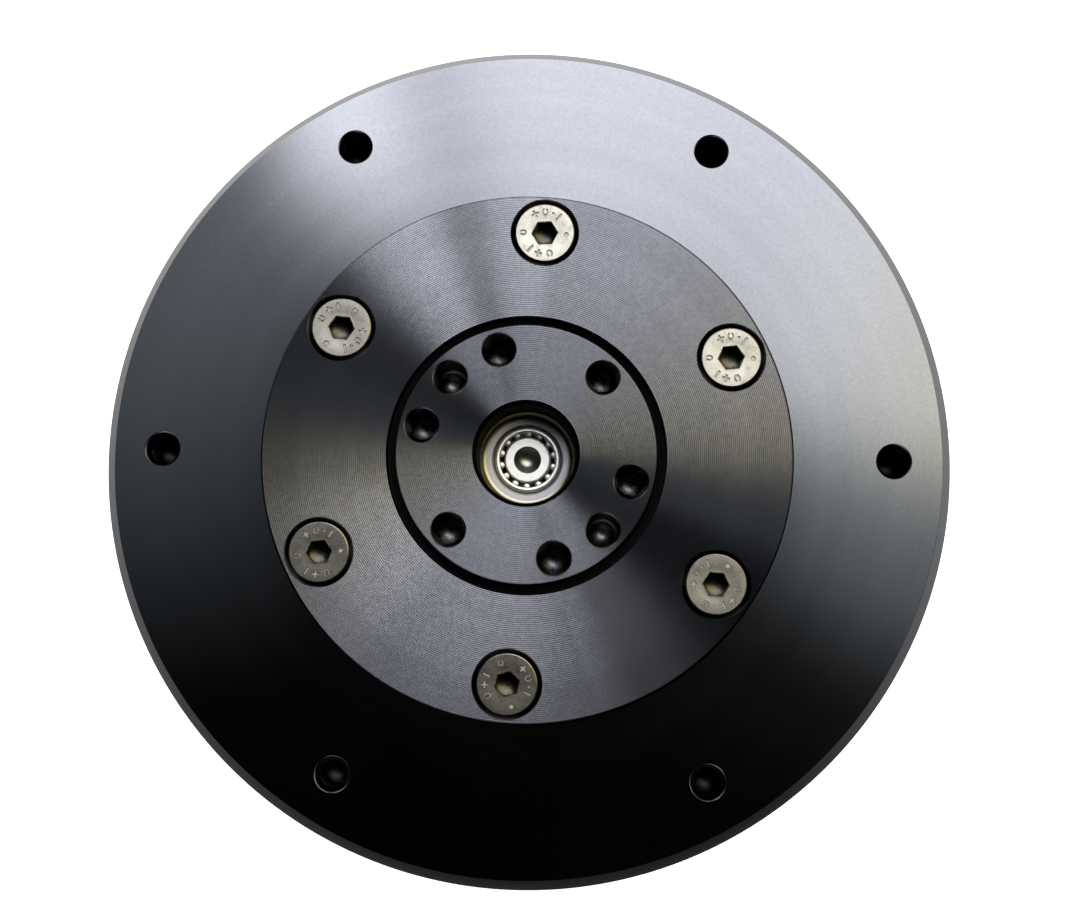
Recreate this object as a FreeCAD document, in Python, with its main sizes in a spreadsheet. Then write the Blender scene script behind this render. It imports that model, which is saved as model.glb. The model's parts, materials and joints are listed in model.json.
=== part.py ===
import FreeCAD, Part
import Sketcher
import math
import os

# Robot joint actuator: a frameless outrunner motor with a 6:1 planetary gearbox
# inside its stator. Axis along +Z, output at the top, origin on the axis in the
# rear resting plane. Millimetres.

os.makedirs("parts", exist_ok=True)
V = FreeCAD.Vector
doc = FreeCAD.newDocument("joint_actuator")

# ---------------------------------------------------------------- dimensions
DIMS = [
    # outside and levels
    ("flange_d", 79.0), ("rim_flat_d", 76.88), ("rim_drop", 1.4),
    ("z_face", 38.0), ("z_cap", 38.8), ("z_out", 39.5), ("z_seat", 36.0),
    ("z_web", 31.6), ("z_joint", 14.0), ("z_tube", 16.0),
    ("wall_in_d", 68.0), ("spigot_d", 72.0), ("fin_gap", 1.4), ("fin_pitch", 3.3),
    ("fin_d", 76.9), ("z_fin", 17.2),
    # front flange holes
    ("bolt_pcd", 68.0), ("tap_m3_d", 2.5), ("mouth_d", 3.32), ("tap_major_d", 3.0),
    ("bolt_depth", 4.7),
    # cap
    ("cap_d", 49.12), ("cap_bore_d", 25.88), ("cap_gap", 0.12), ("gearcase_d", 36.0),
    ("cap_screw_pcd", 42.18), ("cap_head_d", 5.6), ("cap_sink_d", 6.4), ("m3_d", 3.0),
    ("cap_hex_af", 2.1), ("cap_screw_len", 6.0),
    # output flange
    ("disc_d", 24.14), ("seat_d", 25.0), ("pilot_d", 9.2), ("pilot_mouth_d", 9.94),
    ("out_pcd", 20.0), ("out_depth", 4.9), ("dowel_d", 3.0), ("dowel_depth", 4.6),
    ("z_floor", 34.45), ("floor_round", 0.75), ("z_arm", 31.3), ("z_plate", 23.0),
    # gearing
    ("gear_m", 0.5), ("sun_n", 12), ("planet_n", 24), ("ring_n", 60),
    ("centre_d", 18.0), ("pin_d", 3.0), ("bush_d", 4.4), ("run_clear", 0.03),
    ("backlash", 0.06),
    # bearings
    ("ob_in", 25.0), ("ob_out", 32.0), ("ob_w", 4.0), ("ob_ball", 1.9),
    ("cb_in", 20.0), ("cb_out", 27.0), ("cb_w", 4.0), ("cb_ball", 1.9),
    ("rb_in", 8.0), ("rb_out", 16.0), ("rb_w", 4.0), ("rb_ball", 2.2),
    ("z_ob", 32.0), ("z_cb", 16.8), ("z_rb", 8.4),
    ("cup_d", 6.5), ("cup_lip_d", 5.28), ("race_d", 5.84), ("needle_d", 0.70),
    ("needle_n", 14), ("tip_shaft_d", 4.4), ("z_tip", 34.36),
    # motor
    ("stator_d", 58.4), ("tube_d", 42.0), ("slots", 24), ("z_core", 18.0),
    ("core_len", 11.0), ("magnet_in_d", 59.2), ("yoke_in_d", 62.4), ("yoke_d", 66.0),
    ("magnets", 28), ("z_magnet", 17.6), ("magnet_len", 11.8), ("z_rotor", 13.2),
    ("web_t", 1.8), ("z_yoke_top", 30.0), ("shaft_d", 6.4), ("hub_d", 23.2),
    # rear
    ("z_cover", 2.4), ("rear_pcd", 73.6), ("flat_y", 36.0), ("z_rweb", 9.2),
    ("z_rtop", 12.8), ("z_pcb", 4.8), ("pcb_t", 1.6), ("pcb_d", 66.0), ("pcb_flat", 27.6),
]
VAL = {}
sheet = doc.addObject("Spreadsheet::Sheet", "Dims")
for i, (name, value) in enumerate(DIMS):
    sheet.set("A%d" % (i + 1), name)
    sheet.set("B%d" % (i + 1), "%g" % value)
    sheet.setAlias("B%d" % (i + 1), name)
    VAL[name] = float(value)
doc.recompute()

# angles of the rest pose, degrees from +X
A_BOLT = 0.0          # flange holes
A_CAP = 26.44         # cap screws
A_OUT = -14.17        # output holes
A_DOWEL = -44.17      # dowel holes
A_PLANET = 15.83      # first planet
A_COLUMN = 75.83      # first carrier column


class Q:
    """a size with its value and the expression that binds it to the sheet"""

    def __init__(self, v, e):
        self.v, self.e = v, e

    def _op(self, o, sign, f):
        o = q(o)
        return Q(f(self.v, o.v), "(%s %s %s)" % (self.e, sign, o.e))

    def __add__(self, o):
        return self._op(o, "+", lambda a, b: a + b)

    def __sub__(self, o):
        return self._op(o, "-", lambda a, b: a - b)

    def __mul__(self, o):
        return self._op(o, "*", lambda a, b: a * b)

    def __truediv__(self, o):
        return self._op(o, "/", lambda a, b: a / b)


def q(x):
    if isinstance(x, Q):
        return x
    return Q(float(x), "(%.6f)" % float(x))


def d(name):
    return Q(VAL[name], "Dims." + name)


def r(name):
    return d(name) / 2


PARTS = []


def keep(obj, label):
    obj.Label = label
    PARTS.append(obj)
    return obj


def role(body, name):
    return [f for f in body.Origin.OriginFeatures if f.Role == name][0]


def body_new(label):
    b = doc.addObject("PartDesign::Body", label)
    b.AllowCompound = True
    b.Placement = FreeCAD.Placement()
    return keep(b, label)


def place(sk, body, plane, z=None, angle=None):
    sk.AttachmentSupport = [(role(body, plane), "")]
    sk.MapMode = "FlatFace"
    rot = FreeCAD.Rotation()
    if angle is not None:
        rot = FreeCAD.Rotation(V(0, 1, 0) if plane == "XZ_Plane" else V(0, 0, 1), angle)
    zz = q(z) if z is not None else None
    sk.AttachmentOffset = FreeCAD.Placement(V(0, 0, zz.v if zz else 0), rot)
    if zz:
        sk.setExpression("AttachmentOffset.Base.z", zz.e)


def bind(sk, kind, geo, pos, val):
    val = q(val)
    k = sk.addConstraint(Sketcher.Constraint(kind, -1, 1, geo, pos, val.v))
    sk.setExpression("Constraints[%d]" % k, val.e)


def loop(sk, pts):
    """closed polygon whose every corner is bound to the sheet"""
    n = len(pts)
    pts = [(q(a), q(b)) for a, b in pts]
    ids = []
    for i in range(n):
        a, b = pts[i], pts[(i + 1) % n]
        ids.append(sk.addGeometry(Part.LineSegment(V(a[0].v, a[1].v, 0), V(b[0].v, b[1].v, 0)), False))
    for i in range(n):
        sk.addConstraint(Sketcher.Constraint("Coincident", ids[i], 2, ids[(i + 1) % n], 1))
    for i in range(n):
        bind(sk, "DistanceX", ids[i], 1, pts[i][0])
        bind(sk, "DistanceY", ids[i], 1, pts[i][1])


def ring(sk, x, y, rad):
    x, y, rad = q(x), q(y), q(rad)
    g = sk.addGeometry(Part.Circle(V(x.v, y.v, 0), V(0, 0, 1), rad.v), False)
    bind(sk, "DistanceX", g, 3, x)
    bind(sk, "DistanceY", g, 3, y)
    k = sk.addConstraint(Sketcher.Constraint("Radius", g, rad.v))
    sk.setExpression("Constraints[%d]" % k, rad.e)


def turn(body, name, pts, cut=False, about=None, angle=None):
    """revolve a profile (radius, height) about Z, or about an upright axis at
    distance `about` in the half-plane at `angle`"""
    sk = body.newObject("Sketcher::SketchObject", name + "_sk")
    place(sk, body, "XZ_Plane", None, angle)
    loop(sk, pts)
    if about is not None:
        about = q(about)
        g = sk.addGeometry(Part.LineSegment(V(about.v, 0, 0), V(about.v, 60, 0)), True)
        bind(sk, "DistanceX", g, 1, about)
        bind(sk, "DistanceX", g, 2, about)
        bind(sk, "DistanceY", g, 1, 0.0)
        bind(sk, "DistanceY", g, 2, 60.0)
    doc.recompute()
    f = body.newObject("PartDesign::Groove" if cut else "PartDesign::Revolution", name)
    f.Profile = sk
    f.ReferenceAxis = (sk, ["Axis0"]) if about is not None else (role(body, "Z_Axis"), [""])
    f.Angle = 360
    body.Tip = f
    doc.recompute()
    return f


def hole_up(radius, z0, z1, about, tip=0.0, mouth=None, lead=None):
    """profile of a drilled hole about the axis at `about`, mouth at z1"""
    a = q(about)
    radius = q(radius)
    p = [(a, q(z0) - tip), (a + radius, q(z0))]
    if lead is not None:
        p += [(a + radius, q(z1) - lead[0]), (a + q(lead[1]), q(z1) - lead[2])]
    if mouth is not None:
        if lead is None:
            p += [(a + radius, q(z1) - (q(mouth) - radius))]
        p += [(a + q(mouth), q(z1)), (a + q(mouth), q(z1) + 0.5), (a, q(z1) + 0.5)]
    else:
        p += [(a + radius, q(z1) + 0.5), (a, q(z1) + 0.5)]
    return p


def polar(body, feats, count, name, angle=360.0):
    f = body.newObject("PartDesign::PolarPattern", name)
    f.Originals = feats
    f.Axis = (role(body, "Z_Axis"), [""])
    f.Angle = angle
    f.Occurrences = int(count)
    body.Tip = f
    doc.recompute()
    return f


def pad(body, name, z, length, circles=(), polys=(), plane="XY_Plane", cut=False, rev=False, angle=None):
    sk = body.newObject("Sketcher::SketchObject", name + "_sk")
    place(sk, body, plane, z, angle)
    for c in circles:
        ring(sk, *c)
    for p in polys:
        loop(sk, p)
    doc.recompute()
    before = body.Shape.Volume if cut else 0.0
    f = body.newObject("PartDesign::Pocket" if cut else "PartDesign::Pad", name)
    f.Profile = sk
    length = q(length)
    f.Length = length.v
    f.setExpression("Length", length.e)
    f.Reversed = rev
    body.Tip = f
    doc.recompute()
    if cut and not body.Shape.Volume < before - 1e-6:
        raise RuntimeError("cut removes nothing: " + name)
    return f


def box_pts(x0, x1, y0, y1):
    return [(x0, y0), (x1, y0), (x1, y1), (x0, y1)]


def hexagon(cx, cy, af, ang=0.0):
    k = 1.0 / math.cos(math.radians(30))
    out = []
    for i in range(6):
        a = math.radians(ang + 60 * i)
        out.append((q(cx) + q(af) / 2 * (k * math.cos(a)), q(cy) + q(af) / 2 * (k * math.sin(a))))
    return out


def at(radius, ang):
    return radius * math.cos(math.radians(ang)), radius * math.sin(math.radians(ang))


def solid_feature(label, shape, placement=None):
    f = doc.addObject("Part::Feature", label)
    f.Shape = shape
    if placement is not None:
        f.Placement = placement
    return keep(f, label)


def revolve_shape(pts):
    w = Part.makePolygon([V(a, 0, b) for a, b in pts] + [V(pts[0][0], 0, pts[0][1])])
    return Part.Face(w).revolve(V(0, 0, 0), V(0, 0, 1), 360)


def spin(shape, ang):
    s = shape.copy()
    s.rotate(V(0, 0, 0), V(0, 0, 1), ang)
    return s


# ------------------------------------------------------------- front housing
# turned cup: face flange, outer wall with cooling fins, inner tube for the gearbox
fh = body_new("front_housing")
turn(fh, "fh_turn", [
    (r("spigot_d"), d("z_joint")), (r("flange_d") - 0.3, d("z_joint")),
    (r("flange_d"), d("z_joint") + 0.3), (r("flange_d"), d("z_face") - d("rim_drop")),
    (r("rim_flat_d"), d("z_face")), (r("cap_d") + d("cap_gap") + 0.1, d("z_face")),
    (r("cap_d") + d("cap_gap"), d("z_face") - 0.1), (r("cap_d") + d("cap_gap"), d("z_seat")),
    (r("gearcase_d"), d("z_seat")), (r("gearcase_d"), d("z_cb") + d("cb_w") + 0.2),
    (r("cb_out"), d("z_cb") + d("cb_w") + 0.2), (r("cb_out"), d("z_cb")),
    (12.3, d("z_cb")), (12.3, d("z_tube")), (r("tube_d") - 0.3, d("z_tube")),
    (r("tube_d"), d("z_tube") + 0.3), (r("tube_d"), d("z_web")),
    (r("wall_in_d"), d("z_web")), (r("wall_in_d"), d("z_joint") + 2),
    (r("spigot_d"), d("z_joint") + 2)])
fin = turn(fh, "fh_fin", [
    (r("fin_d"), d("z_fin")), (r("flange_d") + 1, d("z_fin")),
    (r("flange_d") + 1, d("z_fin") + d("fin_gap")), (r("fin_d"), d("z_fin") + d("fin_gap"))], cut=True)
lp = fh.newObject("PartDesign::LinearPattern", "fh_fins")
lp.Originals = [fin]
lp.Direction = (role(fh, "Z_Axis"), [""])
lp.Mode = "Spacing" if "Spacing" in lp.getEnumerationsOfProperty("Mode") else lp.Mode
if "Offset" in lp.PropertiesList and lp.Mode == "Spacing":
    lp.Offset = VAL["fin_pitch"]
    lp.setExpression("Offset", "Dims.fin_pitch")
else:
    lp.Length = VAL["fin_pitch"] * 4
lp.Occurrences = 5
fh.Tip = lp
doc.recompute()
h1 = turn(fh, "fh_bolt", hole_up(r("tap_m3_d"), d("z_face") - d("bolt_depth"), d("z_face"), r("bolt_pcd"),
          tip=0.6, mouth=r("mouth_d"), lead=(0.6, r("tap_major_d"), 0.16)), cut=True, about=r("bolt_pcd"), angle=A_BOLT + 1e-9)
polar(fh, [h1], 6, "fh_bolts")
h2 = turn(fh, "fh_captap", hole_up(r("m3_d"), d("z_seat") - 3.6, d("z_seat"), r("cap_screw_pcd"), tip=0.5),
          cut=True, about=r("cap_screw_pcd"), angle=A_CAP)
polar(fh, [h2], 6, "fh_captaps")
h3 = turn(fh, "fh_rear", [(r("rear_pcd"), d("z_joint") - 0.5), (r("rear_pcd") + 1.3, d("z_joint") - 0.5),
                          (r("rear_pcd") + 1.3, d("z_joint") + 8), (r("rear_pcd"), d("z_joint") + 8.6)],
          cut=True, about=r("rear_pcd"), angle=1e-9)
polar(fh, [h3], 6, "fh_rears")
LEADS = (78.0, 90.0, 102.0)


def channel(ang):
    """outline of the wall channel that one phase lead runs down"""
    c, s = math.cos(math.radians(ang)), math.sin(math.radians(ang))
    return [(u * c - w * s, u * s + w * c) for u, w in
            ((33.3, -0.85), (35.3, -0.85), (35.95, -0.4), (35.95, 0.4), (35.3, 0.85), (33.3, 0.85))]


pad(fh, "fh_lead", d("z_web"), d("z_web") - d("z_joint") + 1, polys=[channel(a) for a in LEADS], cut=True)

# ---------------------------------------------------------------- bearing cap
cap = body_new("front_bearing_cap")
turn(cap, "cap_turn", [
    (r("cap_bore_d"), d("z_cap") - 0.1), (r("cap_bore_d") + 0.1, d("z_cap")),
    (r("cap_d") - 0.12, d("z_cap")), (r("cap_d"), d("z_cap") - 0.12), (r("cap_d"), d("z_seat")),
    (r("gearcase_d") - 0.02, d("z_seat")), (r("gearcase_d") - 0.02, d("z_arm")),
    (r("ob_out"), d("z_arm")), (r("ob_out"), d("z_seat")), (14.2, d("z_seat")),
    (14.2, d("z_seat") + 1.7), (r("cap_bore_d"), d("z_seat") + 1.7)])
a = r("cap_screw_pcd")
h = turn(cap, "cap_sink", [
    (a, d("z_seat") - 0.5), (a + 1.7, d("z_seat") - 0.5), (a + 1.7, d("z_cap") - 0.05 - r("cap_sink_d") + 1.7),
    (a + r("cap_sink_d"), d("z_cap") - 0.05), (a + r("cap_sink_d"), d("z_cap") + 0.5), (a, d("z_cap") + 0.5)],
    cut=True, about=a, angle=A_CAP)
polar(cap, [h], 6, "cap_sinks")

# countersunk socket screws of the cap
cs = body_new("cap_screws")
top = d("z_cap") - 0.02
edge = d("z_cap") - 0.05 - (r("cap_sink_d") - r("cap_head_d"))
f1 = turn(cs, "cs_turn", [
    (a, d("z_cap") - d("cap_screw_len")), (a + 1.2, d("z_cap") - d("cap_screw_len")),
    (a + 1.45, d("z_cap") - d("cap_screw_len") + 0.25), (a + 1.45, edge - r("cap_head_d") + 1.45),
    (a + r("cap_head_d"), edge), (a + r("cap_head_d"), top - 0.08), (a + r("cap_head_d") - 0.08, top), (a, top)],
    about=a, angle=A_CAP)
hx, hy = at(VAL["cap_screw_pcd"] / 2, A_CAP)
f2 = pad(cs, "cs_hex", top, 1.3, polys=[hexagon(hx, hy, d("cap_hex_af"), 3.3)], cut=True)
polar(cs, [f1, f2], 6, "cs_all")

# rubber lip seal under the cap
seal = body_new("output_seal")
turn(seal, "seal_turn", [(12.55, d("z_seat") + 0.5), (14.15, d("z_seat") + 0.5), (14.15, d("z_seat") + 1.6),
                         (12.75, d("z_seat") + 1.6), (12.22, d("z_seat") + 1.3), (12.22, d("z_seat") + 1.1), (12.55, d("z_seat") + 0.9)])

# -------------------------------------------------------------- output flange
of_ = body_new("output_flange")
ofr = turn(of_, "of_turn", [
    (r("pilot_mouth_d"), d("z_out")), (r("disc_d") - 0.12, d("z_out")), (r("disc_d"), d("z_out") - 0.12),
    (r("disc_d"), d("z_seat")), (r("seat_d"), d("z_seat")), (r("seat_d"), d("z_ob")), (13.2, d("z_ob")),
    (13.2, d("z_arm")), (r("cup_d"), d("z_arm")), (r("cup_d"), d("z_floor") - 0.15),
    (r("cup_d") + 0.15, d("z_floor")), (r("pilot_d"), d("z_floor")),
    (r("pilot_d"), d("z_out") - (r("pilot_mouth_d") - r("pilot_d")))])
names = []
for i, e in enumerate(of_.Shape.Edges):
    c = e.Curve
    if isinstance(c, Part.Circle) and abs(c.Radius - VAL["pilot_d"] / 2) < 1e-4 and abs(c.Center.z - VAL["z_floor"]) < 1e-4:
        names.append("Edge%d" % (i + 1))
fl = of_.newObject("PartDesign::Fillet", "of_round")
fl.Base = (ofr, names)
fl.Radius = VAL["floor_round"]
fl.setExpression("Radius", "Dims.floor_round")
of_.Tip = fl
doc.recompute()
# the three columns that stand between the planets
pad(of_, "of_ring", d("z_plate"), d("z_arm") - d("z_plate"), circles=[(0, 0, 13.9), (0, 0, 8.5)])
px, py = at(VAL["centre_d"] / 2, A_PLANET)
pk = pad(of_, "of_gap", d("z_arm"), d("z_arm") - d("z_plate") + 0.001, circles=[(px, py, 6.95)], cut=True)
polar(of_, [pk], 3, "of_gaps")
h = turn(of_, "of_tap", hole_up(r("tap_m3_d"), d("z_out") - d("out_depth"), d("z_out"), r("out_pcd"),
         tip=0.6, mouth=r("mouth_d"), lead=(0.6, r("tap_major_d"), 0.16)), cut=True, about=r("out_pcd"), angle=A_OUT)
polar(of_, [h], 6, "of_taps")
h = turn(of_, "of_dowel", hole_up(r("dowel_d"), d("z_out") - d("dowel_depth"), d("z_out"), r("out_pcd"),
         tip=0.85, mouth=r("mouth_d")), cut=True, about=r("out_pcd"), angle=A_DOWEL)
polar(of_, [h], 2, "of_dowels")
pr = r("centre_d")
h = turn(of_, "of_pin", [(pr, d("z_arm") - 0.5), (pr + r("pin_d"), d("z_arm") - 0.5),
                         (pr + r("pin_d"), d("z_arm") + 2.1), (pr, d("z_arm") + 2.1)], cut=True, about=pr, angle=A_PLANET)
polar(of_, [h], 3, "of_pins")
h = turn(of_, "of_col", [(11.7, d("z_plate") - 0.5), (12.7, d("z_plate") - 0.5), (12.7, d("z_plate") + 6),
                         (11.7, d("z_plate") + 6.5)], cut=True, about=11.7, angle=A_COLUMN)
polar(of_, [h], 3, "of_cols")

# ---------------------------------------------------------- rear carrier plate
cp = body_new("carrier_plate")
zt = d("z_cb") + d("cb_w") + 0.2
turn(cp, "cp_turn", [(4.6, d("z_cb") + 0.1), (r("cb_in") - 0.2, d("z_cb") + 0.1), (r("cb_in"), d("z_cb") + 0.3),
                     (r("cb_in"), zt), (13.3, zt), (13.3, d("z_plate")), (4.6, d("z_plate"))])
h = turn(cp, "cp_pin", [(pr, zt + 0.5), (pr + r("pin_d"), zt + 0.5), (pr + r("pin_d"), d("z_plate") + 0.5),
                        (pr, d("z_plate") + 0.5)], cut=True, about=pr, angle=A_PLANET)
polar(cp, [h], 3, "cp_pins")
h = turn(cp, "cp_sink", [(11.7, zt - 0.5), (13.2, zt - 0.5), (13.2, zt + 0.1), (12.7, zt + 0.6),
                         (12.7, d("z_plate") + 0.5), (11.7, d("z_plate") + 0.5)], cut=True, about=11.7, angle=A_COLUMN)
polar(cp, [h], 3, "cp_sinks")

cw = body_new("carrier_screws")
f1 = turn(cw, "cw_turn", [(11.7, zt + 0.05), (13.2, zt + 0.05), (13.2, zt + 0.1), (12.65, zt + 0.65),
                          (12.65, d("z_plate") + 5.2), (12.45, d("z_plate") + 5.4), (11.7, d("z_plate") + 5.4)],
          about=11.7, angle=A_COLUMN)
wx, wy = at(11.7, A_COLUMN)
f2 = pad(cw, "cw_hex", zt + 0.05, 0.9, polys=[hexagon(wx, wy, 1.2, 10.0)], cut=True, rev=True)
polar(cw, [f1, f2], 3, "cw_all")

pp = body_new("planet_pins")
f1 = turn(pp, "pp_turn", [(pr, zt + 0.5), (pr + r("pin_d") - 0.2, zt + 0.5), (pr + r("pin_d"), zt + 0.7),
                          (pr + r("pin_d"), d("z_arm") + 1.9), (pr + r("pin_d") - 0.2, d("z_arm") + 2.1), (pr, d("z_arm") + 2.1)],
          about=pr, angle=A_PLANET)
polar(pp, [f1], 3, "pp_all")

pw = body_new("planet_washers")
f1 = turn(pw, "pw_low", [(pr + r("pin_d") + 0.01, d("z_plate")), (pr + 3.0, d("z_plate")), (pr + 3.0, d("z_plate") + 0.25),
                         (pr + r("pin_d") + 0.01, d("z_plate") + 0.25)], about=pr, angle=A_PLANET)
f2 = turn(pw, "pw_high", [(pr + r("pin_d") + 0.01, d("z_arm") - 0.25), (pr + 3.0, d("z_arm") - 0.25), (pr + 3.0, d("z_arm")),
                          (pr + r("pin_d") + 0.01, d("z_arm"))], about=pr, angle=A_PLANET)
polar(pw, [f1, f2], 3, "pw_all")


# --------------------------------------------------------------------- gears
def inv(x):
    return math.tan(x) - x


def flank(rad, n, m, half):
    """half angle of an involute tooth (20 degrees) at radius rad"""
    rp = n * m / 2
    rb = rp * math.cos(math.radians(20))
    ar = math.acos(min(1.0, rb / max(rad, rb)))
    return half + inv(math.radians(20)) - inv(ar)


def tooth_wire(n, m, r_lo, r_hi, half, under=0.1):
    """closed toothed outline: teeth point outwards, centred on angle 0"""
    rp = n * m / 2
    rb = rp * math.cos(math.radians(20))
    radii = [r_lo] + [rad for rad in (r_lo + (r_hi - r_lo) * k / 5.0 for k in range(1, 5))] + [r_hi]
    edges = []
    pitch = 2 * math.pi / n
    up = []
    for rad in radii:
        h_ = flank(rad, n, m, half)
        if rad < rb:
            h_ *= 1.0 - under * (rb - rad) / (rb - r_lo + 1e-9)
        up.append((rad, h_))

    def pt(rad, ang):
        return V(rad * math.cos(ang), rad * math.sin(ang), 0)

    for k in range(n):
        c = k * pitch
        p1 = [pt(rad, c - h_) for rad, h_ in up]
        p2 = [pt(rad, c + h_) for rad, h_ in reversed(up)]
        s1, s2 = Part.BSplineCurve(), Part.BSplineCurve()
        s1.interpolate(p1)
        s2.interpolate(p2)
        edges.append(s1.toShape())
        edges.append(Part.Arc(p1[-1], pt(r_hi, c), p2[0]).toShape())
        edges.append(s2.toShape())
        nxt = pt(r_lo, c + pitch - up[0][1])
        edges.append(Part.Arc(p2[-1], pt(r_lo, c + pitch / 2), nxt).toShape())
    return Part.Wire(edges)


M = sheet.gear_m
ZS, ZP, ZR = int(sheet.sun_n), int(sheet.planet_n), int(sheet.ring_n)
BL = sheet.backlash
Z_G0, Z_G1 = sheet.z_plate + 0.3, sheet.z_arm - 0.3


def prism(wire, z0, z1):
    w = wire.copy()
    w.translate(V(0, 0, z0))
    return Part.Face(w).extrude(V(0, 0, z1 - z0))


# ring gear pressed into the housing tube
half = math.pi / (2 * ZR) + BL / 4 / (ZR * M / 2)
hole = prism(tooth_wire(ZR, M, ZR * M / 2 - 0.42, ZR * M / 2 + 0.60, half), 19, 33)
blank = Part.makeCylinder(sheet.gearcase_d / 2, sheet.z_arm - 21.0, V(0, 0, 21.0))
rg = blank.cut(spin(hole, A_PLANET))
solid_feature("ring_gear", rg)

# planets with bronze bushes
half = math.pi / (2 * ZP) - BL / 4 / (ZP * M / 2)
pl = prism(tooth_wire(ZP, M, ZP * M / 2 - 0.62, ZP * M / 2 + 0.44, half), Z_G0, Z_G1)
pl = pl.cut(Part.makeCylinder(sheet.bush_d / 2, 20, V(0, 0, 20)))
for k in range(3):
    x, y = at(sheet.centre_d / 2, A_PLANET + 120 * k)
    solid_feature("planet_gear_%d" % (k + 1), pl.copy(),
                  FreeCAD.Placement(V(x, y, 0), FreeCAD.Rotation(V(0, 0, 1), A_PLANET + 120 * k)))
for k in range(3):
    b = doc.addObject("Part::Cylinder", "bush_out_%d" % (k + 1))
    b.setExpression("Radius", "Dims.bush_d/2")
    b.setExpression("Height", "Dims.z_arm-Dims.z_plate-0.7")
    c = doc.addObject("Part::Cylinder", "bush_in_%d" % (k + 1))
    c.setExpression("Radius", "Dims.pin_d/2+Dims.run_clear")
    c.setExpression("Height", "Dims.z_arm-Dims.z_plate-0.6")
    x, y = at(sheet.centre_d / 2, A_PLANET + 120 * k)
    b.Placement = FreeCAD.Placement(V(x, y, Z_G0 + 0.05), FreeCAD.Rotation())
    c.Placement = FreeCAD.Placement(V(x, y, Z_G0), FreeCAD.Rotation())
    t = doc.addObject("Part::Cut", "bush_%d" % (k + 1))
    t.Base, t.Tool = b, c
    keep(t, "planet_bush_%d" % (k + 1))

# sun gear on its shaft, with the end journal that runs in the needles
half = math.pi / (2 * ZS) - BL / 4 / (ZS * M / 2)
sun = spin(prism(tooth_wire(ZS, M, ZS * M / 2 - 0.66, ZS * M / 2 + 0.44, half, under=0.30), Z_G0 - 0.2, Z_G1 + 0.1),
           A_PLANET + 180.0 / ZS)
R_S, R_T = sheet.shaft_d / 2, sheet.tip_shaft_d / 2
rod = revolve_shape([(0, 10.6), (R_S - 0.2, 10.6), (R_S, 10.8), (R_S, Z_G0 - 0.6), (2.3, Z_G0 - 0.2), (R_T, Z_G0),
                     (R_T, sheet.z_tip - 0.16), (R_T - 0.16, sheet.z_tip), (0, sheet.z_tip)])
sun = sun.fuse(rod).removeSplitter()
sun = sun.cut(Part.makeSphere(1.55, V(0, 0, sheet.z_tip + 0.86)))
solid_feature("sun_gear_shaft", sun)


# ------------------------------------------------------------------ bearings
def bearing(prefix, key, z0, groove, count, phase):
    ri, ro = VAL[key + "_in"] / 2, VAL[key + "_out"] / 2
    rm = (ri + ro) / 2
    rb = VAL[key + "_ball"] / 2
    zq = q(z0)
    mid = zq + d(key + "_w") / 2

    def race(tag, inner, outer, inner_e, outer_e):
        co = doc.addObject("Part::Cylinder", prefix + tag + "_o")
        co.Radius, co.Height = outer, VAL[key + "_w"]
        co.setExpression("Radius", outer_e)
        co.setExpression("Height", "Dims.%s_w" % key)
        ci = doc.addObject("Part::Cylinder", prefix + tag + "_i")
        ci.Radius, ci.Height = inner, VAL[key + "_w"] + 2
        ci.setExpression("Radius", inner_e)
        ci.setExpression("Height", "Dims.%s_w+2" % key)
        to = doc.addObject("Part::Torus", prefix + tag + "_t")
        to.Radius1, to.Radius2 = rm, groove
        to.setExpression("Radius1", "(Dims.%s_in+Dims.%s_out)/4" % (key, key))
        to.setExpression("Radius2", "Dims.%s_ball/2+0.05" % key)
        co.Placement = FreeCAD.Placement(V(0, 0, zq.v), FreeCAD.Rotation())
        co.setExpression("Placement.Base.z", zq.e)
        ci.Placement = FreeCAD.Placement(V(0, 0, zq.v - 1), FreeCAD.Rotation())
        ci.setExpression("Placement.Base.z", (zq - 1).e)
        to.Placement = FreeCAD.Placement(V(0, 0, mid.v), FreeCAD.Rotation())
        to.setExpression("Placement.Base.z", mid.e)
        c1 = doc.addObject("Part::Cut", prefix + tag + "_c")
        c1.Base, c1.Tool = co, ci
        c2 = doc.addObject("Part::Cut", prefix + tag)
        c2.Base, c2.Tool = c1, to
        keep(c2, prefix + tag)

    gap = rb * 0.72
    race("_outer_ring", rm + gap, ro, "(Dims.%s_in+Dims.%s_out)/4+Dims.%s_ball*0.36" % (key, key, key), "Dims.%s_out/2" % key)
    race("_inner_ring", ri, rm - gap, "Dims.%s_in/2" % key, "(Dims.%s_in+Dims.%s_out)/4-Dims.%s_ball*0.36" % (key, key, key))
    balls, tools = [], []
    for i in range(count):
        x, y = at(rm, phase + 360.0 * i / count)
        balls.append(Part.makeSphere(rb, V(x, y, mid.v)))
        x, y = at(rm - 1.5, phase + 360.0 * i / count)
        tools.append(Part.makeCylinder(rb + 0.06, 3.0, V(x, y, mid.v), V(x, y, 0)))
    solid_feature(prefix + "_balls", Part.makeCompound(balls))
    hh = rb + 0.45
    cage = revolve_shape([(rm - gap + 0.2, mid.v - hh), (rm + gap - 0.2, mid.v - hh),
                          (rm + gap - 0.2, mid.v + hh), (rm - gap + 0.2, mid.v + hh)])
    for tool in tools:
        cage = cage.cut(tool)
    solid_feature(prefix + "_cage", cage)


bearing("output_bearing", "ob", d("z_ob"), VAL["ob_ball"] / 2 + 0.05, 20, 5.0)
bearing("carrier_bearing", "cb", d("z_cb"), VAL["cb_ball"] / 2 + 0.05, 16, 3.0)
bearing("rotor_bearing", "rb", d("z_rb"), VAL["rb_ball"] / 2 + 0.05, 9, 8.0)

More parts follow.
